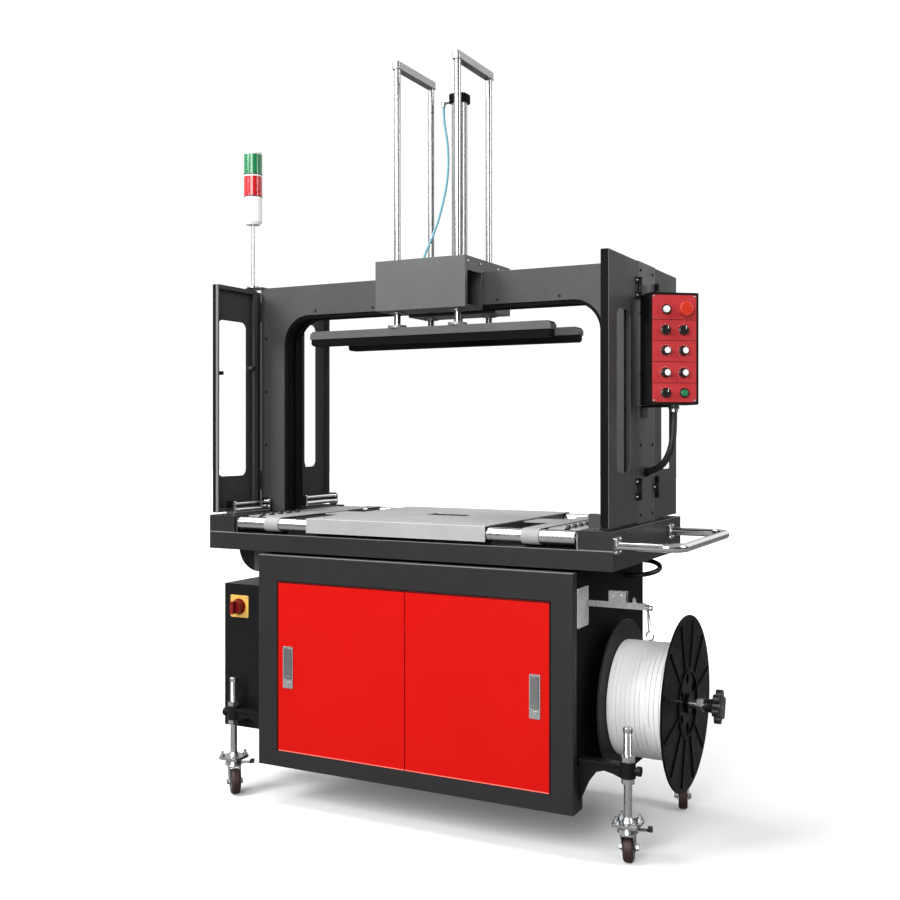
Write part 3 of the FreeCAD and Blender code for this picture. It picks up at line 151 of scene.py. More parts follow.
# ------------------------------------------------------------------ finishes
# c colour, m metallic, r roughness, cv tone variation, rv roughness variation,
# t texture (kind, scale per metre, height in metres)
FIN = {
    "graphite": dict(c=(0.0160, 0.0160, 0.0172), m=0.0, r=0.42, cv=0.14, rv=0.09, t=("peel", 420, 2.0e-5)),
    "beam": dict(c=(0.0500, 0.0504, 0.0530), m=0.0, r=0.40, cv=0.12, rv=0.09, t=("peel", 420, 2.0e-5)),
    "housing": dict(c=(0.0660, 0.0665, 0.0685), m=0.0, r=0.42, cv=0.12, rv=0.09, t=("peel", 420, 2.0e-5)),
    "black": dict(c=(0.0055, 0.0055, 0.0060), m=0.0, r=0.42, cv=0.15, rv=0.10, t=("peel", 420, 2.0e-5)),
    "red": dict(c=(0.47, 0.0035, 0.0020), m=0.0, r=0.40, cv=0.05, rv=0.07, t=("peel", 420, 1.4e-5)),
    "panel_red": dict(c=(0.44, 0.034, 0.038), m=0.0, r=0.38, cv=0.06, rv=0.07, t=("peel", 900, 0.6e-5)),
    "stainless": dict(c=(0.74, 0.745, 0.75), m=1.0, r=0.30, cv=0.06, rv=0.10, t=("brush_x", 500, 2.0e-6)),
    "deck": dict(c=(0.33, 0.33, 0.328), m=0.15, r=0.46, cv=0.16, rv=0.06, t=("brush_x", 500, 2.0e-6)),
    "steel": dict(c=(0.30, 0.30, 0.31), m=1.0, r=0.34, cv=0.12, rv=0.12, t=("grain", 400, 2.0e-6)),
    "zinc": dict(c=(0.50, 0.51, 0.52), m=1.0, r=0.26, cv=0.10, rv=0.12, t=("grain", 260, 2.5e-6)),
    "cast": dict(c=(0.24, 0.24, 0.25), m=0.7, r=0.45, cv=0.15, rv=0.12, t=("grain", 500, 2.0e-5)),
    "chrome": dict(c=(0.58, 0.585, 0.59), m=1.0, r=0.10, cv=0.03, rv=0.05, t=("grain", 120, 1.0e-6)),
    "rod": dict(c=(0.35, 0.35, 0.36), m=1.0, r=0.24, cv=0.03, rv=0.05, t=("brush_xy", 500, 0.6e-6)),
    "aluminium": dict(c=(0.44, 0.445, 0.45), m=1.0, r=0.31, cv=0.05, rv=0.08, t=("brush_z", 500, 2.0e-6)),
    "roller": dict(c=(0.50, 0.51, 0.52), m=1.0, r=0.24, cv=0.10, rv=0.12, t=("brush_yz", 400, 1.5e-6)),
    "belt": dict(c=(0.27, 0.275, 0.27), m=0.0, r=0.62, cv=0.12, rv=0.08, t=("weave", 900, 6.0e-5)),
    # painted highlight: a pale paint strip standing for light caught along an edge
    "painted_highlight": dict(c=(0.16, 0.16, 0.165), m=0.0, r=0.40, cv=0.12, rv=0.08, t=("peel", 420, 1.0e-5)),
    "latch": dict(c=(0.30, 0.30, 0.31), m=1.0, r=0.30, cv=0.10, rv=0.08, t=("brush_z", 400, 1.5e-6)),
    # painted shade and painted highlight on the red paint: a dark gap line and a light edge line
    "red_painted_shade": dict(c=(0.060, 0.0015, 0.0010), m=0.0, r=0.45, cv=0.05, rv=0.07, t=("peel", 420, 1.4e-5)),
    "red_painted_highlight": dict(c=(0.75, 0.16, 0.13), m=0.0, r=0.40, cv=0.05, rv=0.07, t=("peel", 420, 1.4e-5)),
    "shade": dict(c=(0.0035, 0.0035, 0.0037), m=0.0, r=0.60, cv=0.20, rv=0.08, t=("peel", 420, 1.0e-5)),
    "rubber": dict(c=(0.008, 0.008, 0.008), m=0.0, r=0.62, cv=0.25, rv=0.10, t=("grain", 700, 4.0e-5)),
    "tread": dict(c=(0.030, 0.0135, 0.0115), m=0.0, r=0.55, cv=0.30, rv=0.12, t=("grain", 500, 6.0e-5)),
    "plastic": dict(c=(0.0075, 0.0075, 0.0080), m=0.0, r=0.36, cv=0.12, rv=0.08, t=("grain", 1100, 1.5e-5)),
    "reel": dict(c=(0.0022, 0.0022, 0.0024), m=0.0, r=0.42, cv=0.60, rv=0.20, t=("grain", 120, 3.0e-5)),
    "white": dict(c=(0.83, 0.83, 0.81), m=0.0, r=0.30, cv=0.04, rv=0.06, t=("grain", 900, 0.6e-5)),
    "strap": dict(c=(0.72, 0.73, 0.735), m=0.0, r=0.38, cv=0.04, rv=0.08, t=("brush_yz", 1200, 0.8e-5)),
    "plate": dict(c=(0.60, 0.60, 0.60), m=0.35, r=0.45, cv=0.12, rv=0.10, t=("grain", 500, 1.0e-5)),
    "yellow": dict(c=(0.62, 0.38, 0.08), m=0.0, r=0.38, cv=0.06, rv=0.06, t=("grain", 900, 1.0e-5)),
    "knob_red": dict(c=(0.17, 0.004, 0.004), m=0.0, r=0.32, cv=0.08, rv=0.06, t=("grain", 900, 0.8e-5)),
    "stop_red": dict(c=(0.52, 0.030, 0.014), m=0.0, r=0.28, cv=0.06, rv=0.05, t=("grain", 900, 0.6e-5)),
    "green": dict(c=(0.020, 0.17, 0.075), m=0.0, r=0.28, cv=0.06, rv=0.05, t=("grain", 900, 0.6e-5)),
    "lens_red": dict(c=(0.52, 0.012, 0.018), m=0.0, r=0.20, cv=0.10, rv=0.05, t=("rib", 95, 2.2e-4)),
    "lens_green": dict(c=(0.010, 0.20, 0.070), m=0.0, r=0.20, cv=0.10, rv=0.05, t=("rib", 95, 2.2e-4)),
    "hose_blue": dict(c=(0.10, 0.28, 0.35), m=0.0, r=0.30, cv=0.08, rv=0.06, t=("grain", 500, 1.0e-5)),
}


def height(nt, co, t):
    kind, sc, h = t
    if kind == "peel":
        v = noise(nt, co, sc, 1.5, 0.5)
    elif kind == "grain":
        v = noise(nt, co, sc, 3.0, 0.6)
    elif kind == "brush_x":
        v = noise(nt, co, sc, 2.0, 0.6, (0.02, 1.0, 1.0))
    elif kind == "brush_z":
        v = noise(nt, co, sc, 2.0, 0.6, (1.0, 1.0, 0.02))
    elif kind == "brush_yz":      # turned about x: fine lines at fixed x
        v = noise(nt, co, sc, 2.0, 0.6, (1.0, 0.03, 0.03))
    elif kind == "brush_xy":      # turned about z: fine lines at fixed z
        v = noise(nt, co, sc, 2.0, 0.6, (0.03, 0.03, 1.0))
    elif kind == "weave":
        a = add(nt, "ShaderNodeTexWave", {"Vector": co, "Scale": sc / 6.2832, "Distortion": 0.4, "Detail": 1.0},
                bands_direction="X").outputs["Fac"]
        b = add(nt, "ShaderNodeTexWave", {"Vector": co, "Scale": sc / 6.2832, "Distortion": 0.4, "Detail": 1.0},
                bands_direction="Y").outputs["Fac"]
        v = calc(nt, "MULTIPLY", a, b)
    elif kind == "rib":
        v = noise(nt, co, sc, 1.0, 0.4, (1.0, 1.0, 0.12))
    return calc(nt, "MULTIPLY", v, h)


def test(nt, co, axes, t):
    """One region test in the part's own coordinates: 0 or 1."""
    kind, op, val = t[0], t[-2], t[-1]
    if kind in ("x", "y", "z"):
        v = axes["xyz".index(kind)]
    elif kind == "absx":
        v = calc(nt, "ABSOLUTE", calc(nt, "SUBTRACT", axes[0], t[1]))
    elif kind == "plane":         # distance along the direction t[2] from the point t[1]
        v = vcalc(nt, "DOT_PRODUCT", vcalc(nt, "SUBTRACT", co, tuple(t[1])), tuple(t[2]))
    elif kind == "axis":          # distance from the line through t[1] along t[2]
        d = vcalc(nt, "SUBTRACT", co, tuple(t[1]))
        v = vcalc(nt, "LENGTH", vcalc(nt, "CROSS_PRODUCT", d, tuple(t[2])))
    return calc(nt, "GREATER_THAN" if op == ">" else "LESS_THAN", v, val)


def surface(name, base, zones=(), edge_wear_and_highlight=None, coat=0.0, transmission=0.0, spec=None):
    mat = bpy.data.materials.new(name)
    mat.use_nodes = True
    nt = mat.node_tree
    nt.nodes.clear()
    out = nt.nodes.new("ShaderNodeOutputMaterial")
    bs = nt.nodes.new("ShaderNodeBsdfPrincipled")
    nt.links.new(bs.outputs[0], out.inputs[0])
    co = add(nt, "ShaderNodeTexCoord").outputs["Object"]
    sep = add(nt, "ShaderNodeSeparateXYZ", {0: co})
    axes = [sep.outputs[i] for i in range(3)]
    b = FIN[base]
    col, met, rou, cv, rv = b["c"], b["m"], b["r"], b["cv"], b["rv"]
    hgt = height(nt, co, b["t"])
    first = True
    for tests, fin in zones:
        z = FIN[fin]
        m = None
        for t in tests:
            s = test(nt, co, axes, t)
            m = s if m is None else calc(nt, "MULTIPLY", m, s)
        col = mixc(nt, m, col, z["c"])
        met = mixf(nt, m, met, z["m"])
        rou = mixf(nt, m, rou, z["r"])
        cv = mixf(nt, m, cv, z["cv"])
        rv = mixf(nt, m, rv, z["rv"])
        if z["t"] != b["t"]:
            hgt = mixf(nt, m, hgt, height(nt, co, z["t"]))
        first = False
    # broad and fine variation of tone, smudged roughness
    broad = noise(nt, co, 5.5, 4.0, 0.6)
    fine = noise(nt, co, 70.0, 3.0, 0.6)
    tone = calc(nt, "ADD", calc(nt, "MULTIPLY", calc(nt, "SUBTRACT", broad, 0.5), 2.0),
                calc(nt, "MULTIPLY", calc(nt, "SUBTRACT", fine, 0.5), 1.2))
    gain = calc(nt, "ADD", 1.0, calc(nt, "MULTIPLY", tone, cv))
    grey = add(nt, "ShaderNodeCombineColor", {0: gain, 1: gain, 2: gain}).outputs[0]
    colour = mixc(nt, 1.0, col, grey, "MULTIPLY")
    smudge = calc(nt, "ADD", calc(nt, "SUBTRACT", noise(nt, co, 11.0, 3.0, 0.5), 0.5),
                  calc(nt, "MULTIPLY", calc(nt, "SUBTRACT", fine, 0.5), 0.8))
    rough = calc(nt, "ADD", rou, calc(nt, "MULTIPLY", smudge, calc(nt, "MULTIPLY", rv, 2.0)), clamp=True)
    if edge_wear_and_highlight:
        # lighter edges, worn paint and painted highlight together: the rounded normal leaves the flat one only beside
        # an edge
        bev = add(nt, "ShaderNodeBevel", {"Radius": edge_wear_and_highlight[1]}, samples=4).outputs[0]
        nrm = add(nt, "ShaderNodeNewGeometry").outputs["Normal"]
        e = calc(nt, "SUBTRACT", 1.0, vcalc(nt, "DOT_PRODUCT", bev, nrm))
        e = remap(nt, e, 0.02, 0.22, 0.0, 1.0)
        e = calc(nt, "MULTIPLY", e, remap(nt, noise(nt, co, 38.0, 4.0, 0.7), 0.38, 0.68, 0.15, 1.0))
        e = calc(nt, "MULTIPLY", e, edge_wear_and_highlight[2], clamp=True)
        colour = mixc(nt, e, colour, edge_wear_and_highlight[0])
        rough = mixf(nt, e, rough, 0.34)
    nt.links.new(colour, bs.inputs["Base Color"])
    nt.links.new(rough, bs.inputs["Roughness"])
    if isinstance(met, bpy.types.NodeSocket):
        nt.links.new(met, bs.inputs["Metallic"])
    else:
        bs.inputs["Metallic"].default_value = met
    bump = add(nt, "ShaderNodeBump", {"Height": hgt, "Distance": 1.0, "Strength": 1.0})
    nt.links.new(bump.outputs[0], bs.inputs["Normal"])
    level = spec if spec is not None else {"graphite": 0.22, "beam": 0.22, "black": 0.16, "red": 0.10, "reel": 0.05, "shade": 0.04}.get(base, 0.4)
    bs.inputs["Specular IOR Level"].default_value = level
    if coat:
        bs.inputs["Coat Weight"].default_value = coat
        bs.inputs["Coat Roughness"].default_value = 0.12
    if transmission:
        bs.inputs["Transmission Weight"].default_value = transmission
        bs.inputs["IOR"].default_value = 1.46
    return mat


# edge colours: the graphite one is worn paint and also a painted highlight along the edges
PAINT_WEAR_AND_HIGHLIGHT = ((0.11, 0.11, 0.115), 0.0016, 0.60)
DARK_WEAR = ((0.045, 0.045, 0.047), 0.0016, 0.50)
RED_WEAR = ((0.60, 0.10, 0.07), 0.0014, 0.40)


# ------------------------------------------------------------------ modifiers for the CAD nodes
def smooth_group(limit):
    g = bpy.data.node_groups.new("smooth by angle", "GeometryNodeTree")
    g.interface.new_socket("Geometry", in_out="INPUT", socket_type="NodeSocketGeometry")
    g.interface.new_socket("Geometry", in_out="OUTPUT", socket_type="NodeSocketGeometry")
    gi, go = g.nodes.new("NodeGroupInput"), g.nodes.new("NodeGroupOutput")
    free = g.nodes.new("GeometryNodeSetMeshNormal")
    free.mode = "SHARPNESS"
    faces = g.nodes.new("GeometryNodeSetShadeSmooth")
    faces.domain = "FACE"
    faces.inputs["Shade Smooth"].default_value = True
    ang = g.nodes.new("GeometryNodeInputMeshEdgeAngle")
    cmp_ = g.nodes.new("FunctionNodeCompare")
    cmp_.data_type, cmp_.operation = "FLOAT", "LESS_THAN"
    cmp_.inputs[1].default_value = math.radians(limit)
    edges = g.nodes.new("GeometryNodeSetShadeSmooth")
    edges.domain = "EDGE"
    link = g.links.new
    link(gi.outputs[0], free.inputs["Mesh"])
    link(free.outputs[0], faces.inputs["Geometry"])
    link(faces.outputs[0], edges.inputs["Geometry"])
    link(ang.outputs["Unsigned Angle"], cmp_.inputs[0])
    link(cmp_.outputs["Result"], edges.inputs["Shade Smooth"])
    link(edges.outputs[0], go.inputs[0])
    return g


SMOOTH = smooth_group(32)
FLAT = smooth_group(0)


def join_group():
    g = bpy.data.node_groups.new("join solids", "GeometryNodeTree")
    g.interface.new_socket("Geometry", in_out="INPUT", socket_type="NodeSocketGeometry")
    g.interface.new_socket("Geometry", in_out="OUTPUT", socket_type="NodeSocketGeometry")
    gi, go = g.nodes.new("NodeGroupInput"), g.nodes.new("NodeGroupOutput")
    bo = g.nodes.new("GeometryNodeMeshBoolean")
    bo.operation, bo.solver = "UNION", "EXACT"
    bo.inputs["Self Intersection"].default_value = True
    g.links.new(gi.outputs[0], bo.inputs["Mesh 2"])
    g.links.new(bo.outputs["Mesh"], go.inputs[0])
    return g


JOIN = join_group()
SPLIT = {"arch_frame", "arch_track", "guard_front_left", "guard_front_right", "guard_rear_left", "guard_rear_right",
         "control_box", "table_frame", "cabinet_frame", "cabinet_panels", "press_housing", "handle_bar", "jack_arms",
         "deck_plates", "electrical_box", "press_beams", "press_pads", "left_door", "right_door"}


# many cut-outs in one flat: the triangles are kept and the edges stay sharp
PIERCED = {"cabinet_panels", "control_box", "guard_front_left", "guard_front_right", "guard_rear_left",
           "guard_rear_right"}


def finish_edges(o, width=0.0009, segments=2, angle=30):
    if o.name in SPLIT:
        j = o.modifiers.new("join", "NODES")
        j.node_group = JOIN
    w = o.modifiers.new("weld", "WELD")
    w.merge_threshold = 2e-6
    if o.name not in PIERCED:
        d = o.modifiers.new("flats", "DECIMATE")
        d.decimate_type = "DISSOLVE"
        d.angle_limit = math.radians(0.4)
    if width:
        b = o.modifiers.new("edges", "BEVEL")
        b.width = width
        b.segments = segments
        b.limit_method = "ANGLE"
        b.angle_limit = math.radians(angle)
        b.use_clamp_overlap = True
        b.miter_outer = "MITER_ARC"
        b.harden_normals = False
    s = o.modifiers.new("smooth", "NODES")
    s.node_group = FLAT if o.name == "control_box" else SMOOTH
    if width:
        n = o.modifiers.new("flat faces", "WEIGHTED_NORMAL")
        n.keep_sharp = True
        n.weight = 100


def dress(name, mat, width=0.0009, segments=2, angle=30):
    o = NODES[name]
    o.data.materials.clear()
    o.data.materials.append(mat)
    finish_edges(o, width, segments, angle)
    return o


# ------------------------------------------------------------------ mesh building
def basis(n):
    n = Vector(n).normalized()
    h = Vector((0, 0, 1)) if abs(n.z) < 0.9 else Vector((1, 0, 0))
    u = h.cross(n).normalized()
    return u, n.cross(u), n


class Build:
    """Collects pieces of mesh with material numbers; lengths in metres in the row frame."""

    def __init__(self):
        self.v, self.f, self.m = [], [], []

    def quads(self, rows, mi, close_rows=False):
        """rows: list of rings with equal counts; every ring is closed."""
        base = len(self.v)
        n = len(rows[0])
        for r in rows:
            self.v += [tuple(p) for p in r]
        last = len(rows) if close_rows else len(rows) - 1
        for i in range(last):
            a, b = base + i * n, base + ((i + 1) % len(rows)) * n
            for j in range(n):
                k = (j + 1) % n
                self.f.append((a + j, a + k, b + k, b + j))
                self.m.append(mi)
        return base

    def cap(self, base, n, mi, flip=False):
        idx = list(range(base, base + n))
        self.f.append(tuple(reversed(idx)) if flip else tuple(idx))
        self.m.append(mi)

    def lathe(self, at, axis, profile, seg=24, mi=0, shape=None, turn=0.0, caps=(True, True)):
        """profile: (radius, height along the axis). shape(k, angle) scales the radius of profile row k."""
        u, w, n = basis(axis)
        at = Vector(at)
        rows = []
        for k, (r, h) in enumerate(profile):
            ring = []
            for j in range(seg):
                a = 2 * math.pi * j / seg + turn
                q = r * (shape(k, a - turn) if shape else 1.0)
                ring.append(at + n * h + u * (q * math.cos(a)) + w * (q * math.sin(a)))
            rows.append(ring)
        base = self.quads(rows, mi)
        if caps[0]:
            self.cap(base, seg, mi, True)
        if caps[1]:
            self.cap(base + seg * (len(rows) - 1), seg, mi)

    def block(self, lo, hi, r=0.0008, mi=0, mat=None):
        """Box with rounded edges between two corners, mat moves it to its place."""
        lo, hi = Vector(lo), Vector(hi)
        bm = bmesh.new()
        bmesh.ops.create_cube(bm, size=1.0)
        for v in bm.verts:
            v.co = Vector([(lo[i] + hi[i]) / 2 + v.co[i] * (hi[i] - lo[i]) for i in range(3)])
        r = min(r, 0.45 * min(hi[i] - lo[i] for i in range(3)))
        if r > 0:
            bmesh.ops.bevel(bm, geom=list(bm.edges), offset=r, segments=2, profile=0.5, affect="EDGES")
        self.take(bm, mi, mat)

    def take(self, bm, mi=0, mat=None):
        base = len(self.v)
        bm.verts.ensure_lookup_table()
        bm.verts.index_update()
        for v in bm.verts:
            self.v.append(tuple(mat @ v.co) if mat else tuple(v.co))
        for f in bm.faces:
            self.f.append(tuple(base + v.index for v in f.verts))
            self.m.append(mi)
        bm.free()

    def screw(self, at, normal, d=0.008, h=0.003, mi=0, kind="hex", turn=0.0):
        """Pan or socket head standing on the surface at `at`."""
        r = d / 2
        if kind == "bolt":      # hexagon head on a washer
            def six(k, a):
                return math.cos(math.pi / 6) / math.cos((a % (math.pi / 3)) - math.pi / 6) if 4 <= k <= 8 else 1.0
            prof = [(r * 1.25, -0.0002), (r * 1.25, h * 0.20), (r * 1.20, h * 0.28), (r * 1.0, h * 0.28),
                    (r * 1.0, h * 0.28), (r, h * 0.85), (r * 0.93, h), (r * 0.5, h), (r * 0.1, h)]
            self.lathe(at, normal, prof, 24, mi, six, turn)
            return
        if kind == "hex":
            def sock(k, a):
                return math.cos(math.pi / 6) / math.cos((a % (math.pi / 3)) - math.pi / 6) if k >= 5 else 1.0
            prof = [(r, -0.0002), (r, h * 0.45), (r * 0.92, h * 0.8), (r * 0.74, h), (r * 0.52, h), (r * 0.48, h * 0.97),
                    (r * 0.46, h * 0.25), (r * 0.1, h * 0.2)]
            self.lathe(at, normal, prof, 24, mi, sock, turn)
            return

        def cross(k, a):
            if k < 5:
                return 1.0
            return 1.0 if abs(math.sin(2 * a)) < 0.55 else 0.42
        prof = [(r, -0.0002), (r, h * 0.35), (r * 0.9, h * 0.72), (r * 0.72, h * 0.95), (r * 0.6, h), (r * 0.55, h * 0.97),
                (r * 0.48, h * 0.35), (r * 0.08, h * 0.25)]
        self.lathe(at, normal, prof, 24, mi, cross, turn)

    def tube(self, pts, radius, seg=16, mi=0, radii=None, caps=True):
        pts = [Vector(p) for p in pts]
        rows = []
        t = (pts[1] - pts[0]).normalized()
        u = basis(t)[0]
        for i, p in enumerate(pts):
            a = pts[max(i - 1, 0)]
            b = pts[min(i + 1, len(pts) - 1)]
            t = (b - a).normalized()
            u = (u - t * u.dot(t)).normalized()
            w = t.cross(u)
            r = radii[i] if radii else radius
            rows.append([p + u * (r * math.cos(2 * math.pi * j / seg)) + w * (r * math.sin(2 * math.pi * j / seg))
                         for j in range(seg)])
        base = self.quads(rows, mi)
        if caps:
            self.cap(base, seg, mi, True)
            self.cap(base + seg * (len(rows) - 1), seg, mi)

    def make(self, name, body, mats, smooth=32, merge=True):
        me = bpy.data.meshes.new(name)
        me.from_pydata(self.v, [], self.f)
        for m in mats:
            me.materials.append(m)
        me.polygons.foreach_set("material_index", self.m)
        bm = bmesh.new()
        bm.from_mesh(me)
        if merge:
            bmesh.ops.remove_doubles(bm, verts=bm.verts, dist=1e-6)
        bmesh.ops.recalc_face_normals(bm, faces=bm.faces)
        lim = math.radians(smooth)
        for f in bm.faces:
            f.smooth = True
        for e in bm.edges:
            if len(e.link_faces) == 2:
                e.smooth = e.calc_face_angle(0.0) < lim
        bm.to_mesh(me)
        bm.free()
        o = bpy.data.objects.new(name, me)
        scene.collection.objects.link(o)
        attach(o, body)
        return o


# ------------------------------------------------------------------ materials of the CAD nodes
OUT = (math.sin(PANEL_YAW), -math.cos(PANEL_YAW), 0.0)     # the control box faces this way
PC = P(*PANEL_C)

m_graphite = surface("paint_graphite", "graphite", edge_wear_and_highlight=PAINT_WEAR_AND_HIGHLIGHT)
m_black = surface("paint_black", "black", edge_wear_and_highlight=DARK_WEAR)
m_beam = surface("paint_beam", "beam", edge_wear_and_highlight=PAINT_WEAR_AND_HIGHLIGHT)
m_chrome = surface("chrome", "chrome")
m_zinc = surface("zinc", "zinc")
m_steel = surface("steel", "steel")
m_plastic = surface("plastic_black", "plastic")
m_rubber = surface("rubber_black", "rubber")
m_white = surface("plastic_white", "white")

# painted highlight along the top front edge of the frame
dress("cabinet_frame", surface("cabinet_paint", "graphite", [([("z", ">", Z(732.4))], "painted_highlight")], edge_wear_and_highlight=PAINT_WEAR_AND_HIGHLIGHT), 0.0012)
# painted shade: the cabinet's sides, top and floor are near black, only the rear face keeps the graphite paint
dress("cabinet_panels", surface("panels_painted_shade", "shade", [
    ([("y", ">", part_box("cabinet_panels")[1][1] - 0.0006)], "graphite")]), 0)
dress("electrical_box", surface("box_black", "black", [
    ([("y", "<", Y(79.8)), ("z", ">", Z(500))], "yellow"),
    ([("y", "<", Y(76.8)), ("z", ">", Z(500)), ("axis", P(-590, 70, 560), (0, 1, 0), "<", 0.0245)], "knob_red"),
], edge_wear_and_highlight=DARK_WEAR), 0.0010)
dress("main_switch_knob", surface("switch_red", "knob_red"), 0.0008)
m_latch = surface("latch_steel", "latch")
for side in ("left", "right"):
    lo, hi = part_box(side + "_door")
    body = [("y", ">", Y(-0.15))]
    # painted shadow gap along the top and side edges of each door, painted highlight along the bottom edge
    edges = [([("z", ">", hi[2] - 0.0045)] + body, "red_painted_shade"), ([("z", "<", lo[2] + 0.0035)] + body, "red_painted_highlight")]
    if side == "left":
        edges.append(([("x", "<", lo[0] + 0.0050)] + body, "red_painted_shade"))
    else:
        edges.append(([("x", ">", hi[0] - 0.0030)] + body, "red_painted_shade"))
    dress(side + "_door", surface(side + "_door_red", "red", edges + [([("y", "<", Y(-0.15))], "chrome")], edge_wear_and_highlight=RED_WEAR), 0.0010)
    dress(side + "_latch", m_latch, 0.0005)
dress("table_frame", surface("table_paint", "graphite", [
    ([("z", "<", Z(743.9))], "black"),
    # painted light: the inner faces under the deck get a lighter grey than the frame's own graphite, for the light seen
    # in the gap
    ([("absx", X(0), "<", 0.5475), ("y", ">", Y(45.2)), ("y", "<", Y(558.8))], "housing"),
    # painted highlight along the front beam's top edge
    ([("z", ">", Z(793.3)), ("z", "<", Z(796.5)), ("y", "<", Y(1.2))], "painted_highlight"),
], edge_wear_and_highlight=PAINT_WEAR_AND_HIGHLIGHT), 0.0012)
dress("deck_plates", surface("deck_stainless", "deck", [([("absx", X(0), ">", 0.5405)], "zinc")]), 0.0022)
dress("skate_wheels", m_plastic, 0.0008)
dress("conveyor_belts", surface("belt_grey", "belt"), 0.0004)
dress("front_roller", surface("roller_zinc", "roller"), 0)
dress("rear_roller", surface("roller_zinc_rear", "roller"), 0)
dress("sealing_head", m_steel, 0.0008)
dress("arch_frame", surface("arch_paint", "beam", [
    ([("absx", X(ARCH_X), "<", 0.5245), ("z", "<", Z(1290))], "shade"),
    ([("absx", X(GUARD_X), ">", (GUARD_OUT + 0.15) / 1000)], "plastic"),
    ([("absx", X(GUARD_X), ">", (GUARD_OUT - 0.6) / 1000), ("y", ">", Y(254.2)), ("y", "<", Y(255.6))], "shade"),
    ([("z", "<", Z(1346.2)), ("z", ">", Z(1300)), ("absx", X(ARCH_X), "<", 0.520)], "shade"),
], edge_wear_and_highlight=PAINT_WEAR_AND_HIGHLIGHT), 0.0012)
dress("arch_track", surface("track_black", "shade"), 0.0006)
for nm in ("guard_front_left", "guard_front_right", "guard_rear_left", "guard_rear_right"):
    zs = [([("absx", X(GUARD_X), ">", (GUARD_OUT + 0.15) / 1000)], "plastic")]
    if "front" in nm:
        zs.append(([("y", "<", Y(3.2))], "shade"))
    if nm == "guard_front_left":
        # painted highlight on the inner part of the front edge, beside the dark strip
        zs.append(([("x", ">", X(GUARD_X - GUARD_OUT + 12.5)), ("y", "<", Y(3.2))], "painted_highlight"))
        zs.append(([("x", ">", X(GUARD_X - GUARD_OUT + 21.2))], "plastic"))
    if nm == "guard_front_right":
        # painted highlight along the rounded front edge of the outer face
        zs.append(([("x", ">", X(GUARD_X + GUARD_OUT - 0.6)), ("y", ">", Y(2.2)), ("y", "<", Y(5.5))], "painted_highlight"))
    dress(nm, surface(nm + "_paint", "beam", zs, edge_wear_and_highlight=PAINT_WEAR_AND_HIGHLIGHT, spec=0.05), 0)
dress("guide_rails", m_chrome, 0.0008)
dress("press_housing", surface("housing_paint", "housing", [
    ([("z", ">", Z(1593.2))], "steel"), ([("z", "<", Z(1447.8))], "steel"),
], edge_wear_and_highlight=PAINT_WEAR_AND_HIGHLIGHT), 0.0012)
dress("cylinder_barrel", surface("barrel_aluminium", "aluminium"), 0)
dress("cylinder_caps", surface("caps_black", "shade", [([("x", "<", X(-21.4))], "zinc")]), 0.0012)
dress("guide_rods", surface("rods_chrome", "rod", [
    ([("z", ">", Z(2165.9))], "steel"), ([("z", "<", Z(1410.2)), ("axis", P(8, 291, 0), (0, 0, 1), ">", 0.0)], "cast"),
]), 0.0008)
dress("press_beams", surface("press_beam_paint", "housing", edge_wear_and_highlight=PAINT_WEAR_AND_HIGHLIGHT), 0.0010)
dress("press_pads", surface("pads_black", "shade"), 0.0012)
dress("signal_base", surface("signal_white", "white", [([("z", "<", Z(1766.5))], "aluminium")]), 0.0008)
dress("signal_red_lens", surface("lens_red", "lens_red", [
    ([("z", ">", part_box("signal_red_lens")[1][2] - 0.0070)], "white")], coat=0.5, transmission=0.15), 0.0008)
dress("signal_green_lens", surface("lens_green", "lens_green", [
    ([("z", ">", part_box("signal_green_lens")[1][2] - 0.0105)], "white")], coat=0.5, transmission=0.15), 0.0008)
dress("control_box", surface("control_black", "black", [
    ([("plane", PC, OUT, ">", 0.0001), ("z", ">", Z(1167))], "panel_red"),
    ([("plane", PC, OUT, ">", 0.0016), ("z", ">", Z(1167))], "chrome"),
    ([("axis", P(722.6, 254.6, 1149), (0, 0, 1), "<", 0.018), ("z", ">", Z(1120)), ("z", "<", Z(1167.05))], "zinc"),
    ([("plane", PC, OUT, "<", -0.0705), ("z", "<", Z(1100))], "plastic"),
], edge_wear_and_highlight=None), 0)
dress("white_button", surface("button_white", "white"), 0.0006)
dress("green_button", surface("button_green", "green"), 0.0006)
dress("emergency_stop", surface("button_red", "stop_red"), 0.0008)
for i in (1, 2, 3):
    dress("selector_%d" % i, m_plastic, 0.0008)
for i in (1, 2, 3, 4):
    dress("dial_%d" % i, m_plastic, 0.0008)
dress("handle_bar", surface("handle_chrome", "chrome"), 0.0008)
CASTERS = {"front_left": (-588, 48, -42.4, 27.6), "front_right": (664, 48, 101.6, 20.0),
           "rear_left": (-588, 552, 70.0, 150.0), "rear_right": (664, 552, -74.0, -60.0)}
for tag, (cx, cyy, hd, lev) in CASTERS.items():
    h = math.radians(hd)
    dress("caster_fork_" + tag, surface("fork_" + tag, "zinc", [
        ([("axis", P(cx, cyy, 0), (0, 0, 1), ">", 0.048), ("z", ">", Z(86))], "rubber")]), 0.0008)
    axle = P(cx + 22 * math.cos(h), cyy + 22 * math.sin(h), 37.5)
    dress("caster_wheel_" + tag, surface("wheel_" + tag, "tread", [
        ([("axis", axle, (-math.sin(h), math.cos(h), 0), "<", 0.022)], "cast")]), 0.0008)
dress("jack_arms", m_black, 0.0014)
dress("jack_screws", m_zinc, 0.0008)
dress("reel_axle_and_guide", surface("axle_zinc", "zinc", [
    ([("x", "<", X(537.2)), ("y", "<", Y(110))], "plate")]), 0.0006)
dress("dancer_arm", m_chrome, 0)
dress("strap_reel", surface("reel_black", "reel", [([("x", "<", X(571.4))], "graphite")]), 0.0008)
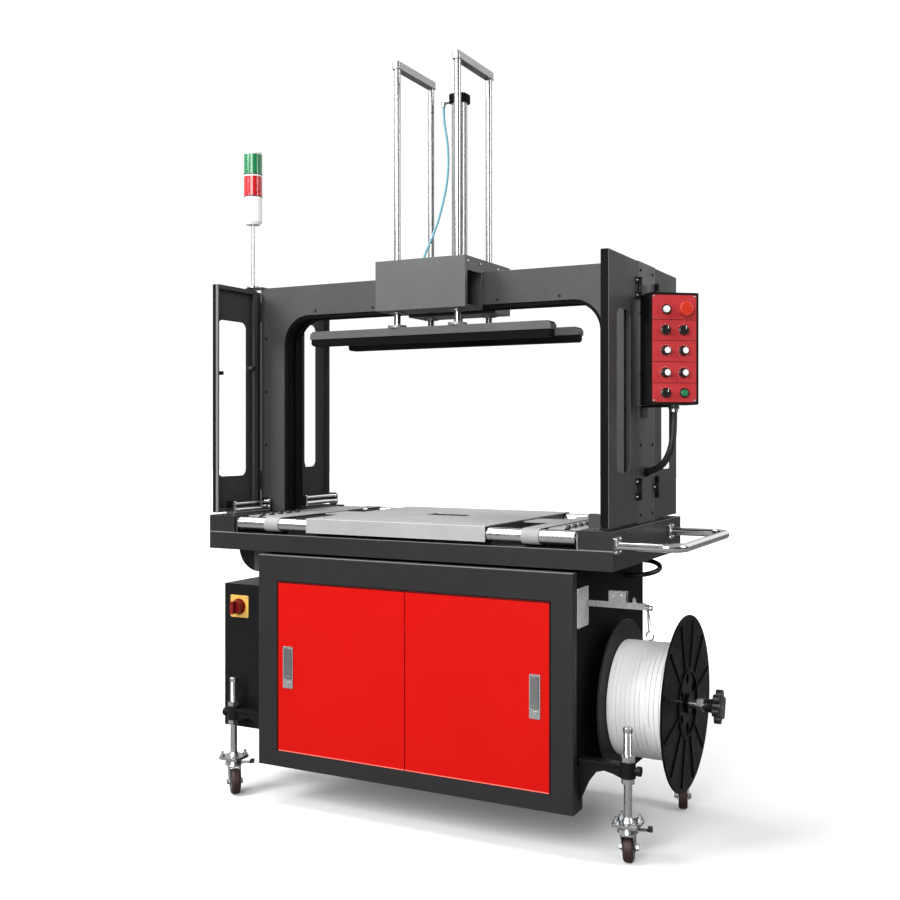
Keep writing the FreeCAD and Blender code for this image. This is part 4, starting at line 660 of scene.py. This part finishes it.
dress("reel_knob", m_plastic, 0.0012)


# ------------------------------------------------------------------ hoses
def nurbs_points(name, pts, res=10):
    cu = bpy.data.curves.new(name, "CURVE")
    cu.dimensions = "3D"
    cu.resolution_u = res
    sp = cu.splines.new("NURBS")
    sp.points.add(len(pts) - 1)
    for q, p in zip(sp.points, pts):
        q.co = (*P(*p), 1.0)
    sp.order_u = 3
    sp.use_endpoint_u = True
    ob = bpy.data.objects.new(name, cu)
    scene.collection.objects.link(ob)
    bpy.context.view_layer.update()
    me = bpy.data.meshes.new_from_object(ob)
    line = [v.co.copy() for v in me.vertices]
    bpy.data.meshes.remove(me)
    bpy.data.objects.remove(ob)
    bpy.data.curves.remove(cu)
    return line


def even(line, step):
    """The same line at even steps."""
    out, left = [line[0]], step
    for a, b in zip(line, line[1:]):
        d = (b - a).length
        while d >= left and d > 0:
            a = a.lerp(b, left / d)
            out.append(a.copy())
            d = (b - a).length
            left = step
        left -= d
    if (out[-1] - line[-1]).length > step * 0.3:
        out.append(line[-1])
    return out


air_pts = [(-48, 396, 2104), (-47, 396, 2068), (-41, 396, 2030), (-33, 395, 1988), (-29.5, 393, 1940), (-29, 388, 1890),
           (-30, 377, 1842), (-32, 360, 1796), (-34, 342, 1752), (-38, 322, 1710), (-42, 300, 1672), (-47, 280, 1638),
           (-50, 266, 1608)]
air_line = even(nurbs_points("air_route", air_pts), 0.004)
b = Build()
b.tube(air_line, 0.004, 14)
air = b.make("air_hose_tube", "frame", [surface("hose_blue", "hose_blue", coat=0.3)], 40)
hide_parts("air_hose")

con_pts = [(722.6, 254.6, 1149), (722.6, 254.6, 1119), (721.0, 255.6, 1088), (715.5, 259.0, 1058), (704.0, 265.8, 1030),
           (686.5, 276.0, 1007.5), (663.0, 289.8, 993.5), (640.0, 303.3, 988)]
loop_pts = [(535, 424, 684), (562, 424, 684), (588, 432, 687), (608, 452, 692), (617, 480, 699), (608, 508, 706),
            (588, 528, 712), (562, 536, 716), (535, 536, 716)]
m_hose = surface("hose_black", "plastic")
con_line = even(nurbs_points("conduit_route", con_pts, 24), 0.0011)
rad = [0.0095 - 0.0011 * (0.5 + 0.5 * math.cos(2 * math.pi * i / 4.0)) for i in range(len(con_line))]
b = Build()
b.tube(con_line, 0.0095, 28, 0, rad)
conduit = b.make("conduit_tube", "frame", [m_hose], 60)
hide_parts("black_hoses")
loop_line = even(nurbs_points("loop_route", loop_pts, 16), 0.003)
b = Build()
b.tube(loop_line, 0.007, 20, 0)
loop = b.make("hose_loop_tube", "frame", [m_hose], 60)
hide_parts("black_hoses")


# ------------------------------------------------------------------ wound strap
def windings():
    b = Build()
    seg, x0, x1, n = 120, 572.3, 739.7, 13
    pitch = (x1 - x0) / n
    rng = random.Random(7)
    tops = [157.0 - rng.choice((0.0, 0.0, 0.5, 0.9)) for _ in range(n)]
    for i in range(n):
        a, c = x0 + i * pitch, x0 + (i + 1) * pitch
        r = tops[i]
        g = 0.22
        prof = [(101.0, a + 0.3), (r - 2.2, a + 0.05), (r - 0.5, a + g), (r, a + g + 0.5), (r, c - g - 0.5), (r - 0.5, c - g),
                (r - 2.2, c - 0.05), (101.0, c - 0.3)]
        rows = []
        for (rr, xx) in prof:
            ring = []
            for j in range(seg):
                t = 2 * math.pi * j / seg
                wob = 0.18 * math.sin(3 * t + i) + 0.12 * math.sin(7 * t + 2.1 * i)
                lean = 0.9 * math.sin(t + 0.35 * i) * (1 if 0 < i < n - 1 else 0)
                ring.append(P(xx + lean * (1 if rr > 110 else 0), 300 + (rr + (wob if rr > 110 else 0)) * math.cos(t),
                              364 + (rr + (wob if rr > 110 else 0)) * math.sin(t)))
            rows.append(ring)
        b.quads(rows, 0, True)
    # outer lap of the strap, ending at a tucked tail
    rows = []
    m = 100
    for j in range(m + 1):
        t = math.radians(-40 + 290 * j / m)
        xc = 588 + 118 * j / m
        r0, r1 = 157.3, 158.1
        rows.append([P(xc - 5.6, 300 + r0 * math.cos(t), 364 + r0 * math.sin(t)),
                     P(xc - 5.6, 300 + r1 * math.cos(t), 364 + r1 * math.sin(t)),
                     P(xc + 5.6, 300 + r1 * math.cos(t), 364 + r1 * math.sin(t)),
                     P(xc + 5.6, 300 + r0 * math.cos(t), 364 + r0 * math.sin(t))])
    base = b.quads(rows, 0)
    b.cap(base, 4, 0, True)
    b.cap(base + 4 * m, 4, 0)
    o = b.make("strap_windings", "reel", [surface("strap_white", "strap")], 35)
    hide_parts("strap_coil")


windings()


# ------------------------------------------------------------------ control panel details
def to_panel():
    return Matrix.Translation(PC) @ Matrix.Rotation(PANEL_YAW, 4, "Z")


TP = to_panel()
ROWS, COLS = (103.0, 48.5, -5.5, -64.0, -117.0), (-25.0, 25.0)


def tp(x, y, z):
    return TP @ Vector((x / 1000, y / 1000, z / 1000))


b = Build()
for z in (76.0, 21.5, -34.8, -90.5):            # dark dividers between the rows
    b.block((-0.0600, -0.0019, (z - 0.7) / 1000), (0.0600, -0.0013, (z + 0.7) / 1000), 0.0002, 0, TP)
for r in (1, 2, 3, 4):                           # scale ticks round dials and selectors
    for c in (0, 1):
        if (c, r) == (1, 4):
            continue
        dial = r in (2, 3)
        for k in range(11 if dial else 3):
            a = math.radians((-140 + 28 * k) if dial else (-45 + 45 * k))
            q0, q1 = 15.3, 17.4 if (not dial or k % 5 == 0) else 16.6
            u = Vector((math.sin(a), 0, math.cos(a)))
            w = Vector((math.cos(a), 0, -math.sin(a))) * 0.00035
            p0 = Vector((COLS[c] / 1000, 0, ROWS[r] / 1000)) + u * (q0 / 1000)
            p1 = Vector((COLS[c] / 1000, 0, ROWS[r] / 1000)) + u * (q1 / 1000)
            rows = [[TP @ (p + s * w + Vector((0, y, 0))) for s, y in ((-1, -0.0014), (-1, -0.0018), (1, -0.0018), (1, -0.0014))]
                    for p in (p0, p1)]
            base = b.quads(rows, 1)
            b.cap(base, 4, 1, True)
            b.cap(base + 4, 4, 1)
for x in (-57.0, 57.0):
    for z in (-137.0, 137.0):
        b.screw(tp(x, -1.4, z), OUT, 0.0065, 0.0022, 2, "cross", 0.4 + x)
b.make("panel_marks", "frame", [m_black, m_white, m_zinc])

for i, (c, r) in enumerate(((0, 2), (1, 2), (0, 3), (1, 3))):
    b = Build()                                  # pale cap let into the knob
    b.lathe(tp(COLS[c], -17.6, ROWS[r]), OUT, [(0.0079, 0.0), (0.0079, 0.0006), (0.0074, 0.0011), (0.0045, 0.0014),
                                               (0.0008, 0.0015)], 28)
    b.block((-0.0006, -0.0186, 0.0070), (0.0006, -0.0174, 0.0094), 0.0002, 1,
            Matrix.Translation(tp(COLS[c], 0, ROWS[r]) - PC) @ TP)
    # fluted grip round the knob
    def flute(k, a):
        return 1.0 + (0.035 if math.cos(a * 18) > 0 else 0.0) if 1 <= k <= 2 else 1.0
    b.lathe(tp(COLS[c], -4.2, ROWS[r]), OUT, [(0.0118, 0.0), (0.0118, 0.0006), (0.0099, 0.0118), (0.0096, 0.0124),
                                              (0.0080, 0.0132)], 72, 2, flute, caps=(False, False))
    b.make("dial_cap_%d" % (i + 1), "dial_%d" % (i + 1), [m_white, m_white, m_plastic])
for i, (c, r) in enumerate(((0, 1), (1, 1), (0, 4))):
    b = Build()                                  # white pointer on the grip
    b.block((-0.0008, -0.0224, 0.0015), (0.0008, -0.0216, 0.0100), 0.0002, 0,
            Matrix.Translation(tp(COLS[c], 0, ROWS[r]) - PC) @ TP)
    b.make("selector_mark_%d" % (i + 1), "selector_%d" % (i + 1), [m_white])
b = Build()
b.lathe(tp(COLS[0], -13.8, ROWS[0]), OUT, [(0.0078, 0.0), (0.0076, 0.0006), (0.0055, 0.0013), (0.0025, 0.0017),
                                           (0.0006, 0.0018)], 32)
lamp = surface("lamp_white", "white", coat=0.4)
b.make("white_button_lens", "white_button", [lamp])


# ------------------------------------------------------------------ screws and small hardware
def guard_hardware(nm, side, front):
    b = Build()
    xo = GUARD_X + side * GUARD_OUT
    n = (side, 0, 0)
    yk = 240.0 if front else 397.0
    d = -1 if front else 1
    for zc in (911.0, 1453.0):
        for za in (zc + 9.75, zc + 50.25):
            for dy in (10.0, 19.0):
                b.screw(P(xo + side * 2.4, yk + d * dy, za), n, 0.0062, 0.0016, 0, "cross", za)
    b.make(nm + "_screws", nm, [m_zinc])


for nm, sd, fr in (("guard_front_left", -1, True), ("guard_front_right", 1, True), ("guard_rear_left", -1, False),
                   ("guard_rear_right", 1, False)):
    guard_hardware(nm, sd, fr)

b = Build()
for s in (-1, 1):
    xo = GUARD_X + s * GUARD_OUT
    for y, d in ((240.0, 1), (397.0, -1)):
        for zc in (911.0, 1453.0):
            for dy in (10.0, 19.0):
                b.screw(P(xo + s * 2.4, y + d * dy, zc + 30), (s, 0, 0), 0.0062, 0.0016, 0, "cross", zc + dy)
    # cover screws on the columns' outer face and on their front
    for z in (870.0, 1060.0, 1250.0, 1420.0, 1535.0):
        for y in (262.0, 368.0):
            b.screw(P(xo, y, z), (s, 0, 0), 0.0085, 0.0028, 1, "hex", z)
    for z in (885.0, 1055.0, 1225.0, 1395.0):
        b.screw(P(ARCH_X + s * 605, 240.0, z), (0, -1, 0), 0.0085, 0.0028, 1, "hex", z)
        b.screw(P(ARCH_X + s * 605, 322.0, z), (0, 1, 0), 0.0085, 0.0028, 1, "hex", z)
# liner screws along the beam, on its front and rear faces
for x in (-420, -210, 0, 210, 400):
    b.screw(P(x, 240.0, 1476), (0, -1, 0), 0.0075, 0.0022, 1, "hex", x)
    b.screw(P(x, 322.0, 1476), (0, 1, 0), 0.0075, 0.0022, 1, "hex", x)
# press housing
for y in (142.0, 222.0, 340.0, 414.0):
    for s, xx in ((-1, -131.0), (1, 164.0)):
        b.screw(P(xx, y, 1578.0), (s, 0, 0), 0.0080, 0.0028, 0, "hex", y)
for x in (-118.0, 151.0):
    for y in (140.0, 415.0):
        b.screw(P(x, y, 1593.0), (0, 0, 1), 0.0090, 0.0035, 0, "hex", x)
# handle flanges, tower bracket, reel bearing
for y in (22.5, 492.0):
    for dz in (-16.0, 16.0):
        b.screw(P(647.0, y - 16, 809 + dz), (1, 0, 0), 0.0075, 0.0030, 0, "hex", dz)
        b.screw(P(647.0, y + 16, 809 + dz), (1, 0, 0), 0.0075, 0.0030, 0, "hex", dz + 1)
for k in range(4):
    a = math.radians(45 + 90 * k)
    b.screw(P(541.0, 300 + 37 * math.cos(a), 364 + 37 * math.sin(a)), (1, 0, 0), 0.0095, 0.0045, 0, "bolt", a)
b.screw(P(-656, 262, 1562), (0, 0, 1), 0.0080, 0.0035, 0, "hex", 0.3)
# blank plate rivets
for y in (32.0, 101.0):
    for z in (594.0, 687.0):
        b.screw(P(537.0, y, z), (1, 0, 0), 0.0045, 0.0010, 0, "cross", y)
# switch plate screws
for x in (-618.0, -562.0):
    for z in (532.0, 588.0):
        b.screw(P(x, 77.0, z), (0, -1, 0), 0.0050, 0.0014, 0, "cross", x + z)
b.make("frame_screws", "frame", [m_zinc, m_black])

# centre-plate countersunk screws, flush in the deck
b = Build()
for x in (-262.0, 262.0):
    for y in (60.0, 170.0, 280.0, 324.0, 434.0, 544.0):
        b.screw(P(x, y, 845.95), (0, 0, 1), 0.0080, 0.0006, 0, "hex", x + y)
b.make("deck_screws", "frame", [m_steel])

# threads on the jack screws above the arms
b = Build()
for tag, (cx, cyy, hd, lev) in CASTERS.items():
    line, rad = [], []
    z = 276.0
    n = 0
    while z <= 334.0:
        line.append(P(cx, cyy, z))
        rad.append(0.0109 + (0.0006 if n % 2 else -0.0002))
        z += 1.25
        n += 1
    b.tube(line, 0.011, 28, 0, rad)
b.make("jack_threads", "frame", [m_zinc], 25)

# rubber gaskets between the modules of the tower
b = Build()
for z in (1857.0, 1928.0):
    b.lathe(P(-667, 245, z - 1.2), (0, 0, 1), [(0.0280, 0.0), (0.0301, 0.0002), (0.0303, 0.0008), (0.0303, 0.0024),
                                              (0.0301, 0.0030), (0.0280, 0.0032)], 48)
b.make("tower_gaskets", "frame", [m_plastic])


# ------------------------------------------------------------------ stage, lights
def stage():
    me = bpy.data.meshes.new("studio_floor")
    s = 24.0
    me.from_pydata([(-s, -s, 0), (s, -s, 0), (s, s, 0), (-s, s, 0)], [], [(0, 1, 2, 3)])
    o = bpy.data.objects.new("studio_floor", me)
    scene.collection.objects.link(o)
    mat = bpy.data.materials.new("floor_pale")
    mat.use_nodes = True
    nt = mat.node_tree
    bs = nt.nodes["Principled BSDF"]
    co = add(nt, "ShaderNodeTexCoord").outputs["Object"]
    seen = add(nt, "ShaderNodeLightPath").outputs["Is Camera Ray"]
    v = remap(nt, noise(nt, co, 1.3, 3.0), 0.2, 0.8, 0.74, 0.78)
    v = calc(nt, "MULTIPLY", v, mixf(nt, seen, 0.30, 1.0))         # casts little light back on the machine
    c = add(nt, "ShaderNodeCombineColor", {0: v, 1: v, 2: v}).outputs[0]
    nt.links.new(c, bs.inputs["Base Color"])
    nt.links.new(remap(nt, noise(nt, co, 9.0, 4.0), 0.3, 0.7, 0.75, 0.85), bs.inputs["Roughness"])
    bs.inputs["Specular IOR Level"].default_value = 0.1
    far = remap(nt, vcalc(nt, "LENGTH", co), 1.2, 4.5, 0.06, 1.0)  # fades into the white background
    far = calc(nt, "MULTIPLY", far, seen)
    g = add(nt, "ShaderNodeCombineColor", {0: far, 1: far, 2: far}).outputs[0]
    nt.links.new(g, bs.inputs["Emission Color"])
    bs.inputs["Emission Strength"].default_value = 1.0
    me.materials.append(mat)


stage()

world = bpy.data.worlds.new("studio")
scene.world = world
world.use_nodes = True
wt = world.node_tree
wt.nodes.clear()
wo = wt.nodes.new("ShaderNodeOutputWorld")
d = add(wt, "ShaderNodeTexCoord").outputs["Generated"]
sep = add(wt, "ShaderNodeSeparateXYZ", {0: d})
level = remap(wt, sep.outputs[2], -0.05, 1.0, 0.30, 0.80)


def smooth_step(v, a, b, to):
    return add(wt, "ShaderNodeMapRange", {"Value": v, "From Min": a, "From Max": b, "To Min": 0.0, "To Max": to},
               interpolation_type="SMOOTHSTEP").outputs[0]


def lobe(level, vec, inner, outer, amount, rise=None):
    """Adds a soft patch of light (or dark) round one direction; angles in degrees, rise limits it by height."""
    v = Vector(vec).normalized()
    dot = vcalc(wt, "DOT_PRODUCT", d, tuple(v))
    f = smooth_step(dot, math.cos(math.radians(outer)), math.cos(math.radians(inner)), amount)
    if rise:
        f = calc(wt, "MULTIPLY", f, smooth_step(sep.outputs[2], rise[0], rise[1], 1.0))
    return calc(wt, "ADD", level, f)


level = lobe(level, (0.40, 0.90, 0.25), 6, 44, 1.30, (-0.03, 0.22))   # bright wall behind to the right
level = lobe(level, (-0.85, 0.30, 0.30), 10, 60, 0.45)
level = lobe(level, (-0.98, -0.30, 0.10), 10, 50, 0.40)
level = lobe(level, (0.98, 0.05, 0.0), 16, 56, -0.34)                 # dark side of the room
level = lobe(level, (0.70, -0.70, 0.02), 6, 36, -0.14)
level = lobe(level, (-0.46, -0.88, 0.0), 10, 36, -0.16)
level = calc(wt, "MAXIMUM", level, 0.03)
grey = add(wt, "ShaderNodeCombineColor", {0: level, 1: level, 2: level}).outputs[0]
lit = add(wt, "ShaderNodeBackground", {"Color": grey, "Strength": 0.75})
seen = add(wt, "ShaderNodeBackground", {"Color": (1.0, 1.0, 1.0, 1.0), "Strength": 1.05})
ray = add(wt, "ShaderNodeLightPath").outputs["Is Camera Ray"]
mx = add(wt, "ShaderNodeMixShader", {0: ray, 1: lit.outputs[0], 2: seen.outputs[0]})
wt.links.new(mx.outputs[0], wo.inputs[0])


def area(name, at, target, size, power, size_y=None):
    li = bpy.data.lights.new(name, "AREA")
    li.energy = power
    li.shape = "RECTANGLE"
    li.size, li.size_y = size, size_y or size
    o = bpy.data.objects.new(name, li)
    o.location = at
    o.rotation_euler = (Vector(target) - Vector(at)).to_track_quat("-Z", "Y").to_euler()
    scene.collection.objects.link(o)
    o.visible_camera = False
    return o


area("key_left", (-2.6, -3.6, 3.9), (0.0, 0.0, 0.8), 2.0, 230.0)
area("front", (0.7, -4.5, 2.3), (0.2, 0.0, 0.8), 2.2, 190.0)
area("side_right", (3.9, 0.2, 2.6), (0.3, 0.0, 0.9), 1.4, 70.0, 2.2)
area("top", (-1.7, -0.2, 4.3), (0.0, 0.0, 0.9), 2.4, 150.0)

scene.view_settings.view_transform = "Standard"
scene.view_settings.look = "None"
